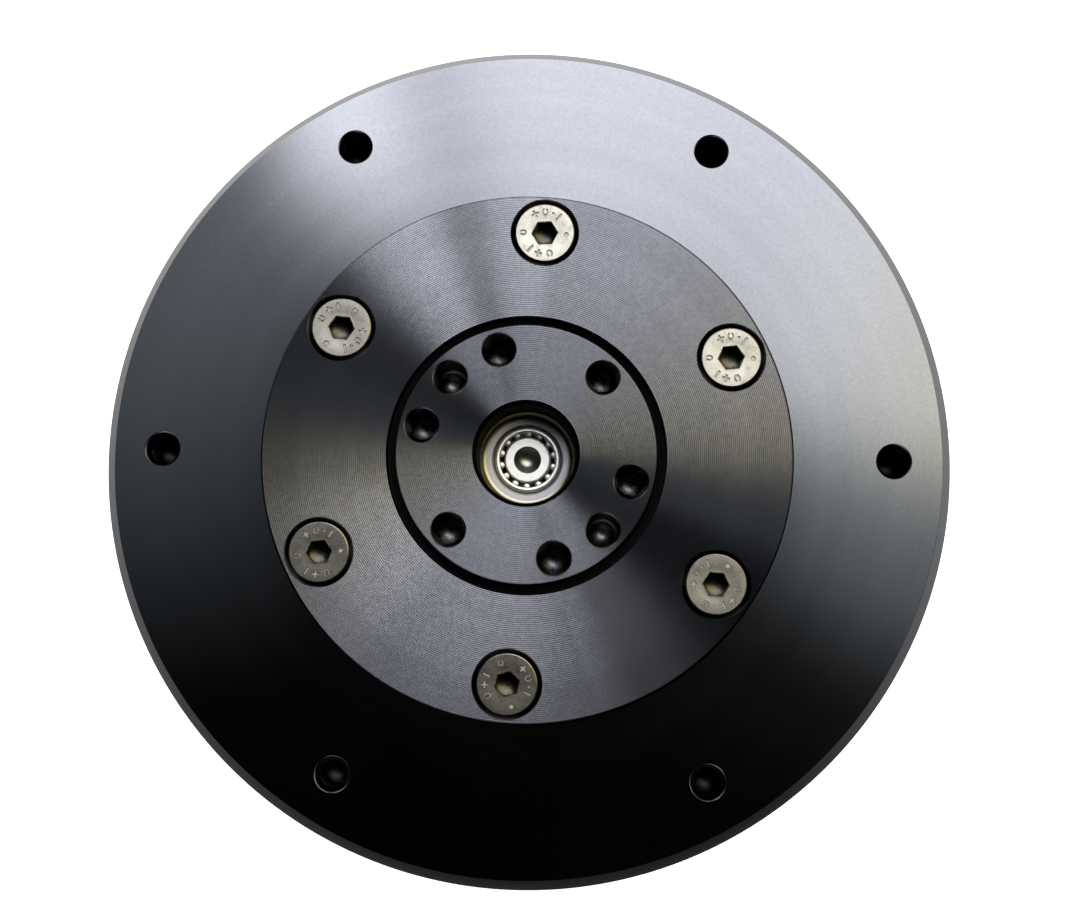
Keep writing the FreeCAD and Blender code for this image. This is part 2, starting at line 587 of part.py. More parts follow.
cup = body_new("needle_bearing_cup")
turn(cup, "cup_turn", [
    (r("cup_lip_d"), d("z_tip") + 0.02), (r("cup_d") - 0.2, d("z_tip") + 0.02), (r("cup_d") - 0.07, d("z_tip") - 0.05),
    (r("cup_d"), d("z_tip") - 0.18), (r("cup_d"), d("z_arm")), (r("cup_lip_d"), d("z_arm")),
    (r("cup_lip_d"), d("z_arm") + 0.2), (r("race_d"), d("z_arm") + 0.2), (r("race_d"), d("z_tip") - 0.16),
    (r("cup_lip_d"), d("z_tip") - 0.16)])
nr = body_new("needle_rollers")
pcn = (VAL["tip_shaft_d"] + VAL["needle_d"]) / 2 + 0.01
nq = (d("tip_shaft_d") + d("needle_d")) / 2 + 0.01
f1 = turn(nr, "nr_turn", [(nq, d("z_arm") + 0.25), (nq + r("needle_d") - 0.08, d("z_arm") + 0.25),
                          (nq + r("needle_d"), d("z_arm") + 0.33), (nq + r("needle_d"), d("z_tip") - 0.29),
                          (nq + r("needle_d") - 0.08, d("z_tip") - 0.21), (nq, d("z_tip") - 0.21)],
          about=nq, angle=12.0)
polar(nr, [f1], VAL["needle_n"], "nr_all")

# --------------------------------------------------------------------- rotor
hub = body_new("rotor_hub")
zr = d("z_rotor")
turn(hub, "hub_turn", [
    (r("shaft_d"), 10.6), (r("shaft_d"), zr + 3.0), (r("hub_d") - 0.3, zr + 3.0), (r("hub_d"), zr + 2.7),
    (r("hub_d"), zr + d("web_t")), (6.0, zr + d("web_t")), (6.0, zr), (4.8, zr), (4.8, d("z_rb") + d("rb_w")),
    (r("rb_in"), d("z_rb") + d("rb_w")), (r("rb_in"), d("z_rb") + 0.1), (3.05, d("z_rb") + 0.1), (3.05, 10.6)])
h = turn(hub, "hub_tap", [(9.0, zr + 1.5), (10.0, zr + 1.5), (10.0, zr + 3.3), (9.0, zr + 3.3)], cut=True, about=9.0, angle=30.0)
polar(hub, [h], 6, "hub_taps")

web = body_new("rotor_web")
turn(web, "web_turn", [(6.0, zr), (r("yoke_d") - 0.4, zr), (r("yoke_d"), zr + 0.4), (r("yoke_d"), zr + d("web_t")),
                       (6.0, zr + d("web_t"))])
h = turn(web, "web_sink", [(9.0, zr - 0.5), (10.9, zr - 0.5), (10.9, zr + 0.05), (10.0, zr + 0.95), (10.0, zr + 2.5),
                           (9.0, zr + 2.5)], cut=True, about=9.0, angle=30.0)
polar(web, [h], 6, "web_sinks")
h = turn(web, "web_vent", [(21.5, zr - 0.5), (25.7, zr - 0.5), (25.7, zr + 2.5), (21.5, zr + 2.5)], cut=True, about=21.5, angle=10.0)
polar(web, [h], 10, "web_vents")

hs = body_new("hub_screws")
f1 = turn(hs, "hs_turn", [(9.0, zr + 0.02), (10.87, zr + 0.02), (10.87, zr + 0.08), (9.95, zr + 1.0), (9.95, zr + 2.9),
                          (9.0, zr + 2.9)], about=9.0, angle=30.0)
wx, wy = at(9.0, 30.0)
f2 = pad(hs, "hs_hex", zr + 0.02, 0.7, polys=[hexagon(wx, wy, 1.3, 5.0)], cut=True, rev=True)
polar(hs, [f1, f2], 6, "hs_all")

yoke = body_new("rotor_yoke")
turn(yoke, "yoke_turn", [(r("yoke_in_d"), zr + d("web_t")), (r("yoke_d"), zr + d("web_t")), (r("yoke_d"), d("z_yoke_top") - 0.3),
                         (r("yoke_d") - 0.3, d("z_yoke_top")), (r("yoke_in_d"), d("z_yoke_top"))])

# arc magnets
n_m = int(sheet.magnets)
span = 360.0 / n_m - 1.3
seg = Part.Face(Part.makePolygon([V(sheet.magnet_in_d / 2, 0, sheet.z_magnet), V(sheet.yoke_in_d / 2, 0, sheet.z_magnet),
                                  V(sheet.yoke_in_d / 2, 0, sheet.z_magnet + sheet.magnet_len),
                                  V(sheet.magnet_in_d / 2, 0, sheet.z_magnet + sheet.magnet_len),
                                  V(sheet.magnet_in_d / 2, 0, sheet.z_magnet)])).revolve(V(0, 0, 0), V(0, 0, 1), span)
solid_feature("rotor_magnets", Part.makeCompound([spin(seg, 360.0 / n_m * k) for k in range(n_m)]))

em = body_new("encoder_magnet")
turn(em, "em_turn", [(0, d("z_rb") + 0.3), (2.8, d("z_rb") + 0.3), (3.0, d("z_rb") + 0.5), (3.0, 10.5), (0, 10.5)])

# -------------------------------------------------------------------- stator
n_s = int(sheet.slots)
R_O, R_I = sheet.stator_d / 2, sheet.tube_d / 2
R_Y, R_SH = R_I + 2.0, R_O - 0.9
T_W = 2.9
lam = Part.makeCylinder(R_O, 1, V(0, 0, 0)).cut(Part.makeCylinder(R_I, 3, V(0, 0, -1)))


def slot_cut(k, w_tooth, r_y, r_sh):
    """space between tooth k and tooth k+1, wide inside and narrow at the air gap"""
    a0 = math.radians(360.0 / n_s * k)
    a1 = math.radians(360.0 / n_s * (k + 1))

    def side(ang, off, rad):
        u = math.sqrt(max(rad * rad - off * off, 0))
        return V(u * math.cos(ang) - off * math.sin(ang), u * math.sin(ang) + off * math.cos(ang), 0)

    am = (a0 + a1) / 2
    pts = [side(a0, w_tooth / 2, r_y), side(a0, w_tooth / 2, r_sh),
           side(am, -0.75, r_sh + 0.45), side(am, -0.75, R_O + 0.5),
           side(am, 0.75, R_O + 0.5), side(am, 0.75, r_sh + 0.45),
           side(a1, -w_tooth / 2, r_sh), side(a1, -w_tooth / 2, r_y)]
    e = [Part.LineSegment(pts[i], pts[i + 1]).toShape() for i in range(len(pts) - 1)]
    mid = V(r_y * math.cos(am), r_y * math.sin(am), 0)
    e.append(Part.Arc(pts[-1], mid, pts[0]).toShape())
    s = Part.Face(Part.Wire(e)).extrude(V(0, 0, 3))
    s.translate(V(0, 0, -1))
    return s


lam = lam.cut(Part.makeCompound([slot_cut(k, T_W, R_Y, R_SH) for k in range(n_s)]))
lam_face = [f for f in lam.Faces if abs(f.CenterOfMass.z) < 1e-6 and abs(f.normalAt(0, 0).z) > 0.9][0]


def lam_block(z0, length):
    f = lam_face.copy()
    f.translate(V(0, 0, z0))
    return f.extrude(V(0, 0, length))


Z_C, L_C = sheet.z_core, sheet.core_len
solid_feature("stator_core", lam_block(Z_C, L_C))
solid_feature("stator_insulators", Part.makeCompound([lam_block(Z_C - 0.45, 0.45), lam_block(Z_C + L_C, 0.45)]))

# one coil round each tooth
C_T = 1.3
z0, z1 = Z_C - 0.45, Z_C + L_C + 0.45
outer = Part.makeBox(R_SH - R_Y - 0.8, T_W + 2 * C_T, z1 - z0 + 2 * C_T, V(R_Y + 0.5, -T_W / 2 - C_T, z0 - C_T))
along = [e for e in outer.Edges if abs(e.Vertexes[0].X - e.Vertexes[-1].X) > 1]
outer = outer.makeFillet(1.2, along)
inner = Part.makeBox(12, T_W + 0.04, z1 - z0 + 0.04, V(R_Y - 1, -T_W / 2 - 0.02, z0 - 0.02))
coil = outer.cut(inner)
solid_feature("stator_windings", Part.makeCompound([spin(coil, 360.0 / n_s * k) for k in range(n_s)]))

# three insulated phase leads: over the rotor's open edge, down the wall channel, to the board
def lead(ang):
    x_pts = [(26.6, z1 + C_T + 0.05), (26.6, 30.98), (35.0, 30.98), (35.0, 7.6), (31.0, 7.6), (31.0, sheet.z_pcb + sheet.pcb_t + 0.02)]
    bend = [0.0, 0.45, 1.4, 1.2, 0.9, 0.0]
    edges = []
    last = None
    for i, p in enumerate(x_pts):
        if i in (0, len(x_pts) - 1):
            a_in = a_out = V(p[0], 0, p[1])
        else:
            b = bend[i]
            c = V(p[0], 0, p[1])
            u = (V(x_pts[i - 1][0], 0, x_pts[i - 1][1]) - c).normalize()
            w = (V(x_pts[i + 1][0], 0, x_pts[i + 1][1]) - c).normalize()
            a_in, a_out = c + u * b, c + w * b
            m_ = c + (u + w) * (b * (1 - math.sqrt(0.5)))
        if last is not None and (a_in - last).Length > 1e-6:
            edges.append(Part.LineSegment(last, a_in).toShape())
        if (a_out - a_in).Length > 1e-6:
            edges.append(Part.Arc(a_in, m_, a_out).toShape())
        last = a_out
    path = Part.Wire(edges)
    prof = Part.Wire([Part.makeCircle(0.44, V(x_pts[0][0], 0, x_pts[0][1]), V(0, 0, 1))])
    s = path.makePipeShell([prof], True, True)
    want = math.pi * 0.44 ** 2 * path.Length
    if abs(abs(s.Volume) - want) > 0.05 * want:
        raise RuntimeError("phase lead sweep is off: %.3f %.3f" % (s.Volume, want))
    return spin(s, ang)


solid_feature("phase_leads", Part.makeCompound([lead(x) for x in LEADS]))

# -------------------------------------------------------------- rear housing
rh = body_new("rear_housing")
turn(rh, "rh_turn", [
    (r("wall_in_d"), d("z_cover")), (r("flange_d"), d("z_cover")), (r("flange_d"), d("z_joint") - 0.3),
    (r("flange_d") - 0.3, d("z_joint")), (r("spigot_d") - 0.05, d("z_joint")), (r("spigot_d") - 0.05, d("z_joint") + 1.9),
    (r("wall_in_d"), d("z_joint") + 1.9), (r("wall_in_d"), d("z_rtop")), (7.2, d("z_rtop")), (7.2, d("z_rb") + d("rb_w")),
    (r("rb_out"), d("z_rb") + d("rb_w")), (r("rb_out"), d("z_rb")), (8.5, d("z_rb")), (8.5, d("z_rb") - 0.5),
    (r("rb_out"), d("z_rb") - 0.5), (r("rb_out"), d("z_rb") - 0.8), (10.0, d("z_rb") - 0.8), (10.0, d("z_rweb")),
    (r("wall_in_d"), d("z_rweb"))])
fin = turn(rh, "rh_fin", [
    (r("fin_d"), 6.4), (r("flange_d") + 1, 6.4), (r("flange_d") + 1, 7.8), (r("fin_d"), 7.8)], cut=True)
fin2 = turn(rh, "rh_fin2", [
    (r("fin_d"), 9.8), (r("flange_d") + 1, 9.8), (r("flange_d") + 1, 11.2), (r("fin_d"), 11.2)], cut=True)
h = turn(rh, "rh_screw", [(r("rear_pcd"), 1.0), (r("rear_pcd") + 2.35, 1.0), (r("rear_pcd") + 2.35, d("z_cover") + 2.6),
                          (r("rear_pcd") + 1.35, d("z_cover") + 2.6), (r("rear_pcd") + 1.35, d("z_joint") + 3), (r("rear_pcd"), d("z_joint") + 3)],
         cut=True, about=r("rear_pcd"), angle=1e-9)
polar(rh, [h], 6, "rh_screws")
h = turn(rh, "rh_ctap", [(r("rear_pcd"), 1.0), (r("rear_pcd") + 1.0, 1.0), (r("rear_pcd") + 1.0, d("z_cover") + 5),
                         (r("rear_pcd"), d("z_cover") + 5.5)], cut=True, about=r("rear_pcd"), angle=45.0)
polar(rh, [h], 4, "rh_ctaps")
sb = turn(rh, "rh_post", [(28.0, d("z_pcb") + d("pcb_t")), (30.4, d("z_pcb") + d("pcb_t")), (30.4, d("z_rweb") + 0.5), (28.0, d("z_rweb") + 0.5)],
          about=28.0, angle=1e-9)
polar(rh, [sb], 3, "rh_posts")
h = turn(rh, "rh_ptap", [(28.0, d("z_pcb") + 1), (28.8, d("z_pcb") + 1), (28.8, d("z_rweb") + 1.2), (28.0, d("z_rweb") + 1.6)],
         cut=True, about=28.0, angle=1e-9)
polar(rh, [h], 3, "rh_ptaps")
pad(rh, "rh_lead", d("z_joint") + 2.5, d("z_joint") - 3.2, polys=[channel(a) for a in LEADS], cut=True)
pad(rh, "rh_flat", d("z_rweb") + 0.2, d("z_rweb"), polys=[box_pts(-20, 20, q(0) - d("flat_y") - 8, q(0) - d("flat_y"))], cut=True)
# windows of the three sockets, open towards the rear cover
WIN = {"p": (-13.5, -3.1, 3.0, 8.4), "c": (-1.2, 6.4, 3.9, 7.7), "u": (8.2, 13.8, 3.9, 7.7)}
for key in ("p", "c", "u"):
    xa, xb, za, zb = WIN[key]
    pad(rh, "rh_win_" + key, zb + 0.15, zb + 0.15 - 1.0, polys=[box_pts(xa - 0.15, xb + 0.15, -38.0, -27.0)], cut=True)

hw = body_new("housing_screws")
f1 = turn(hw, "hw_turn", [(r("rear_pcd"), d("z_cover") + 0.1), (r("rear_pcd") + 2.1, d("z_cover") + 0.1), (r("rear_pcd") + 2.25, d("z_cover") + 0.25),
                          (r("rear_pcd") + 2.25, d("z_cover") + 2.6), (r("rear_pcd") + 1.22, d("z_cover") + 2.6),
                          (r("rear_pcd") + 1.22, d("z_joint") + 6.4), (r("rear_pcd") + 1.0, d("z_joint") + 6.6), (r("rear_pcd"), d("z_joint") + 6.6)],
          about=r("rear_pcd"), angle=1e-9)
f2 = pad(hw, "hw_hex", d("z_cover") + 0.1, 1.3, polys=[hexagon(VAL["rear_pcd"] / 2, 0, 2.0, 12.0)], cut=True, rev=True)
polar(hw, [f1, f2], 6, "hw_all")

rr = Part.makeCylinder(8.45, 0.4, V(0, 0, sheet.z_rb - 0.45)).cut(Part.makeCylinder(7.2, 2, V(0, 0, sheet.z_rb - 1)))
rr = rr.cut(Part.makeBox(6, 3.4, 4, V(5, -1.7, 6)))
solid_feature("bearing_retaining_ring", rr)

rc = body_new("rear_cover")
turn(rc, "rc_turn", [(0, 0), (25.0, 0), (25.3, 0.5), (27.7, 0.5), (28.0, 0), (r("flange_d") - 1.1, 0), (r("flange_d") - 0.3, 0.8),
                     (r("flange_d") - 0.3, d("z_cover")), (0, d("z_cover"))])
pad(rc, "rc_flat", d("z_cover") + 1, d("z_cover") + 3, polys=[box_pts(-20, 20, q(0) - d("flat_y") - 8, q(0) - d("flat_y"))], cut=True)
h = turn(rc, "rc_sink", [(r("rear_pcd"), -0.5), (r("rear_pcd") + 2.0, -0.5), (r("rear_pcd") + 2.0, 0.1), (r("rear_pcd") + 1.1, 1.0),
                         (r("rear_pcd") + 1.1, 3.0), (r("rear_pcd"), 3.0)], cut=True, about=r("rear_pcd"), angle=45.0)
polar(rc, [h], 4, "rc_sinks")
h = turn(rc, "rc_lens", [(30.5, -0.5), (31.5, -0.5), (31.5, 3), (30.5, 3)], cut=True, about=30.5, angle=-90.0)

lens = body_new("status_lens")
turn(lens, "lens_turn", [(30.5, 0.15), (31.4, 0.15), (31.4, 2.4), (32.0, 2.4), (32.0, 2.9), (30.5, 2.9)], about=30.5, angle=-90.0)

rs = body_new("rear_cover_screws")
f1 = turn(rs, "rs_turn", [(r("rear_pcd"), 0.04), (r("rear_pcd") + 1.9, 0.04), (r("rear_pcd") + 1.9, 0.2), (r("rear_pcd") + 0.95, 1.15),
                          (r("rear_pcd") + 0.95, 6.4), (r("rear_pcd") + 0.75, 6.6), (r("rear_pcd"), 6.6)], about=r("rear_pcd"), angle=45.0)
wx, wy = at(VAL["rear_pcd"] / 2, 45.0)
f2 = pad(rs, "rs_hex", 0.04, 0.8, polys=[hexagon(wx, wy, 1.3, 20.0)], cut=True, rev=True)
polar(rs, [f1, f2], 4, "rs_all")

# --------------------------------------------------------------- electronics
zp = d("z_pcb")
zpt = d("z_pcb") + d("pcb_t")
pcb = body_new("driver_board")
turn(pcb, "pcb_turn", [(0, zp), (r("pcb_d"), zp), (r("pcb_d"), zpt), (0, zpt)])
pad(pcb, "pcb_flat", zpt + 1, 4, polys=[box_pts(-30, 30, -40, q(0) - d("pcb_flat"))], cut=True)
h = turn(pcb, "pcb_hole", [(28.0, zp - 1), (29.1, zp - 1), (29.1, zpt + 1), (28.0, zpt + 1)], cut=True, about=28.0, angle=1e-9)
polar(pcb, [h], 3, "pcb_holes")

bw = body_new("board_screws")
f1 = turn(bw, "bw_turn", [(28.0, zp - 1.2), (29.6, zp - 1.2), (29.8, zp - 1.0), (29.8, zp), (28.78, zp), (28.78, zp + 4.6), (28.0, zp + 4.6)],
          about=28.0, angle=1e-9)
f2 = pad(bw, "bw_hex", zp - 1.2, 0.7, polys=[hexagon(28.0, 0, 1.5, 0.0)], cut=True, rev=True)
polar(bw, [f1, f2], 3, "bw_all")


def blocks(label, items, z_lo, height):
    b = body_new(label)
    pad(b, label + "_pad", z_lo, height, polys=[box_pts(x - w / 2, x + w / 2, y - l / 2, y + l / 2) for x, y, w, l in items])
    return b


blocks("power_transistors", [(x, 15.0, 5.0, 6.0) for x in (-20, -12, -4, 4, 12, 20)], zp - 1.0, 1.0)
blocks("thermal_pad", [(0, 15.0, 47.0, 8.0)], d("z_cover"), zp - 1.0 - d("z_cover"))
blocks("control_chips", [(-8, -7, 9.0, 9.0), (7, -6, 6.0, 6.0), (15, -15, 4.0, 5.0)], zp - 1.2, 1.2)
blocks("ceramic_capacitors", [(x, 22.5, 2.5, 3.2) for x in (-9.6, -4.8, 0, 4.8, 9.6)] + [(-22, 2, 3.2, 2.5), (22, 2, 3.2, 2.5)], zp - 1.6, 1.6)
blocks("encoder_chip", [(0, 0, 5.0, 5.0)], zpt, 0.9)
bc = body_new("bulk_capacitors")
pad(bc, "bc_pad", zpt, 2.4, circles=[(-19, -12, 3.1), (-12, -19, 3.1), (12, -19, 3.1), (19, -12, 3.1)])

# sockets: moulded shells with their pins, mouths on the flat side
fy = d("flat_y") - 0.2


def shell(label, x0, x1, z0, z1, wx_, wz_, ch, deep):
    b = body_new(label)
    pad(b, label + "_body", fy, fy - d("pcb_flat") - 0.05,
        polys=[[(x0 + ch, z0), (x1, z0), (x1, z1), (x0 + ch, z1), (x0, z1 - ch), (x0, z0 + ch)]], plane="XZ_Plane", rev=True)
    pad(b, label + "_mouth", fy, deep, polys=[box_pts(x0 + wx_, x1 - wx_, z0 + wz_, z1 - wz_)], plane="XZ_Plane", cut=True)
    return b


shell("power_connector", *WIN["p"], 1.1, 0.85, 1.2, 6.0)
shell("can_connector", *WIN["c"], 0.6, 0.7, 0.01, 4.6)
shell("uart_connector", *WIN["u"], 0.6, 0.7, 0.01, 4.6)
pins = body_new("power_pins")
pad(pins, "pins_pad", fy - 0.9, 5.1, circles=[(-10.4, 5.7, 1.0), (-6.2, 5.7, 1.0)], plane="XZ_Plane", rev=True)
sp = body_new("signal_pins")
sx = [-0.1 + 1.8 * k for k in range(4)] + [9.2 + 1.8 * k for k in range(3)]
pad(sp, "sp_pad", fy - 1.0, 3.6, polys=[box_pts(x - 0.2, x + 0.2, 5.6, 6.0) for x in sx], plane="XZ_Plane", rev=True)

# --------------------------------------------------------------------- write
doc.recompute()
bad = []
for o in doc.Objects:
    if "Invalid" in o.State or "Error" in o.State:
        bad.append("%s %s" % (o.Name, o.State))
for o in PARTS:
    if o.Shape.isNull() or not o.Shape.isValid() or not o.Shape.Solids:
        bad.append("%s has no valid solid" % o.Label)
if bad:
    raise RuntimeError("; ".join(bad))
if len(set(o.Label for o in PARTS)) != len(PARTS) or len(PARTS) > 60:
    raise RuntimeError("labels: %d parts" % len(PARTS))
for o in PARTS:
    o.Shape.exportStep("parts/%s.step" % o.Label)
    bb = o.Shape.BoundBox
    print("%-26s solids %3d vol %9.2f  z %6.2f %6.2f  r %6.2f" % (
        o.Label, len(o.Shape.Solids), o.Shape.Volume, bb.ZMin, bb.ZMax, max(abs(bb.XMin), abs(bb.XMax))))
print("parts", len(PARTS))
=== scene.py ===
import bpy, bmesh, math, json
from mathutils import Vector, Matrix, Euler


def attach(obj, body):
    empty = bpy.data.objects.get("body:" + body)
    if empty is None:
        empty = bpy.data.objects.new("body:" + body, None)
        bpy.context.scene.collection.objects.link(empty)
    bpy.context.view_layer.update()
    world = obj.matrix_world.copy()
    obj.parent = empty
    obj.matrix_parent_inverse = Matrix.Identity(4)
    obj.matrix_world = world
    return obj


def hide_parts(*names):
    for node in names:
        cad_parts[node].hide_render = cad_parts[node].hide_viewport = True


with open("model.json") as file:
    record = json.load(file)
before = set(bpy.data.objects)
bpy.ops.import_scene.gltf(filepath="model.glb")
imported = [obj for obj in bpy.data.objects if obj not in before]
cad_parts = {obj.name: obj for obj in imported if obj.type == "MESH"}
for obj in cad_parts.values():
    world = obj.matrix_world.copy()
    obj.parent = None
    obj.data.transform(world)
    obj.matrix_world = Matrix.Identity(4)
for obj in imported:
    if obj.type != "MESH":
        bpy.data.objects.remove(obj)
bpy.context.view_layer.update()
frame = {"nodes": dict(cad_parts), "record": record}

MM = 0.001
A_CAP, A_OUT, A_DOWEL, A_PLANET, A_COLUMN = 26.44, -14.17, -44.17, 15.83, 75.83   # degrees
NODES = frame["nodes"]
COL = bpy.context.scene.collection

# ------------------------------------------------------------ mesh helpers
def finish_mesh(name, bm, sharp=24.0):
    bmesh.ops.recalc_face_normals(bm, faces=bm.faces)
    me = bpy.data.meshes.new(name)
    bm.to_mesh(me)
    bm.free()
    for p in me.polygons:
        p.use_smooth = True
    me.set_sharp_from_angle(angle=math.radians(sharp))
    ob = bpy.data.objects.new(name, me)
    COL.objects.link(ob)
    return ob


def lathe_bm(bm, prof, seg=360, origin=(0, 0), phase=0.0, flip=False):
    """closed profile [(r, z)] in mm turned about an upright axis at origin (mm)"""
    ox, oy = origin
    rings = []
    for r_, z_ in prof:
        z_ = -z_ if flip else z_
        if r_ < 1e-6:
            v = bm.verts.new((ox * MM, oy * MM, z_ * MM))
            rings.append([v] * seg)
        else:
            rings.append([bm.verts.new(((ox + r_ * math.cos(phase + 2 * math.pi * k / seg)) * MM,
                                        (oy + r_ * math.sin(phase + 2 * math.pi * k / seg)) * MM, z_ * MM)) for k in range(seg)])
    n = len(prof)
    for i in range(n):
        a, b = rings[i], rings[(i + 1) % n]
        if a[0] is a[1] and b[0] is b[1]:
            continue
        for k in range(seg):
            q = [a[k], a[(k + 1) % seg], b[(k + 1) % seg], b[k]]
            u = []
            for v in q:
                if v not in u:
                    u.append(v)
            if len(u) >= 3:
                try:
                    bm.faces.new(u)
                except ValueError:
                    pass
    return bm


def rounded(prof, rad, segs=3):
    """closed profile with each corner rounded by rad (mm), or by its own third value"""
    out = []
    n = len(prof)
    for i in range(n):
        p = prof[i]
        rr = p[2] if len(p) > 2 else rad
        a, b, c = Vector(prof[i - 1][:2]), Vector(p[:2]), Vector(prof[(i + 1) % n][:2])
        if p[0] < 1e-6 or rr <= 0:
            out.append((b.x, b.y))
            continue
        u, w = (a - b), (c - b)
        lu, lw = u.length, w.length
        if lu < 1e-9 or lw < 1e-9:
            continue
        u.normalize(); w.normalize()
        cosang = max(-1, min(1, u.dot(w)))
        ang = math.acos(cosang)
        if ang > math.radians(176):
            out.append((b.x, b.y))
            continue
        t = min(rr / math.tan(ang / 2), lu * 0.45, lw * 0.45)
        r_ = t * math.tan(ang / 2)
        bis = (u + w).normalized()
        cen = b + bis * (r_ / math.sin(ang / 2))
        s, e = b + u * t - cen, b + w * t - cen
        a0, a1 = math.atan2(s.y, s.x), math.atan2(e.y, e.x)
        dlt = (a1 - a0 + math.pi) % (2 * math.pi) - math.pi
        for k in range(segs + 1):
            th = a0 + dlt * k / segs
            out.append((cen.x + r_ * math.cos(th), cen.y + r_ * math.sin(th)))
    return out


def weighted(ob):
    """normals weighted by face area, so that flat faces stay flat up to their broken edges"""
    m = ob.modifiers.new("w", "WEIGHTED_NORMAL")
    m.mode = "FACE_AREA"
    m.weight = 100
    m.keep_sharp = True
    dg = bpy.context.evaluated_depsgraph_get()
    new = bpy.data.meshes.new_from_object(ob.evaluated_get(dg))
    ob.modifiers.clear()
    old = ob.data
    ob.data = new
    bpy.data.meshes.remove(old)
    return ob


def polar(radius, deg):
    return radius * math.cos(math.radians(deg)), radius * math.sin(math.radians(deg))


def boolean(ob, cutter_bm, op="DIFFERENCE", sharp=24.0):
    bmesh.ops.recalc_face_normals(cutter_bm, faces=cutter_bm.faces)
    me = bpy.data.meshes.new("cutter")
    cutter_bm.to_mesh(me)
    cutter_bm.free()
    co = bpy.data.objects.new("cutter", me)
    COL.objects.link(co)
    m = ob.modifiers.new("b", "BOOLEAN")
    m.operation = op
    m.solver = "EXACT"
    m.use_self = False
    m.object = co
    bpy.context.view_layer.update()
    dg = bpy.context.evaluated_depsgraph_get()
    new = bpy.data.meshes.new_from_object(ob.evaluated_get(dg))
    ob.modifiers.clear()
    old = ob.data
    ob.data = new
    bpy.data.meshes.remove(old)
    bpy.data.objects.remove(co)
    bpy.data.meshes.remove(me)
    for p in ob.data.polygons:
        p.use_smooth = True
    ob.data.set_sharp_from_angle(angle=math.radians(sharp))
    return ob


def thread_prof(r_major, r_minor, z_top, z_bot, pitch=0.5):
    """cutter side of a tapped hole: ridged wall from z_bot to z_top"""
    pts = []
    z = z_bot
    while z + pitch <= z_top:
        pts += [(r_minor, z), (r_minor, z + pitch * 0.14), (r_major, z + pitch * 0.5), (r_major, z + pitch * 0.62)]
        z += pitch
    pts.append((r_minor, min(z + pitch * 0.14, z_top)))
    return pts


def prism_bm(bm, pts, z0, z1):
    lo = [bm.verts.new((x * MM, y * MM, z0 * MM)) for x, y in pts]
    hi = [bm.verts.new((x * MM, y * MM, z1 * MM)) for x, y in pts]
    n = len(pts)
    bm.faces.new(list(reversed(lo)))
    bm.faces.new(hi)
    for i in range(n):
        bm.faces.new([lo[i], lo[(i + 1) % n], hi[(i + 1) % n], hi[i]])
    return bm


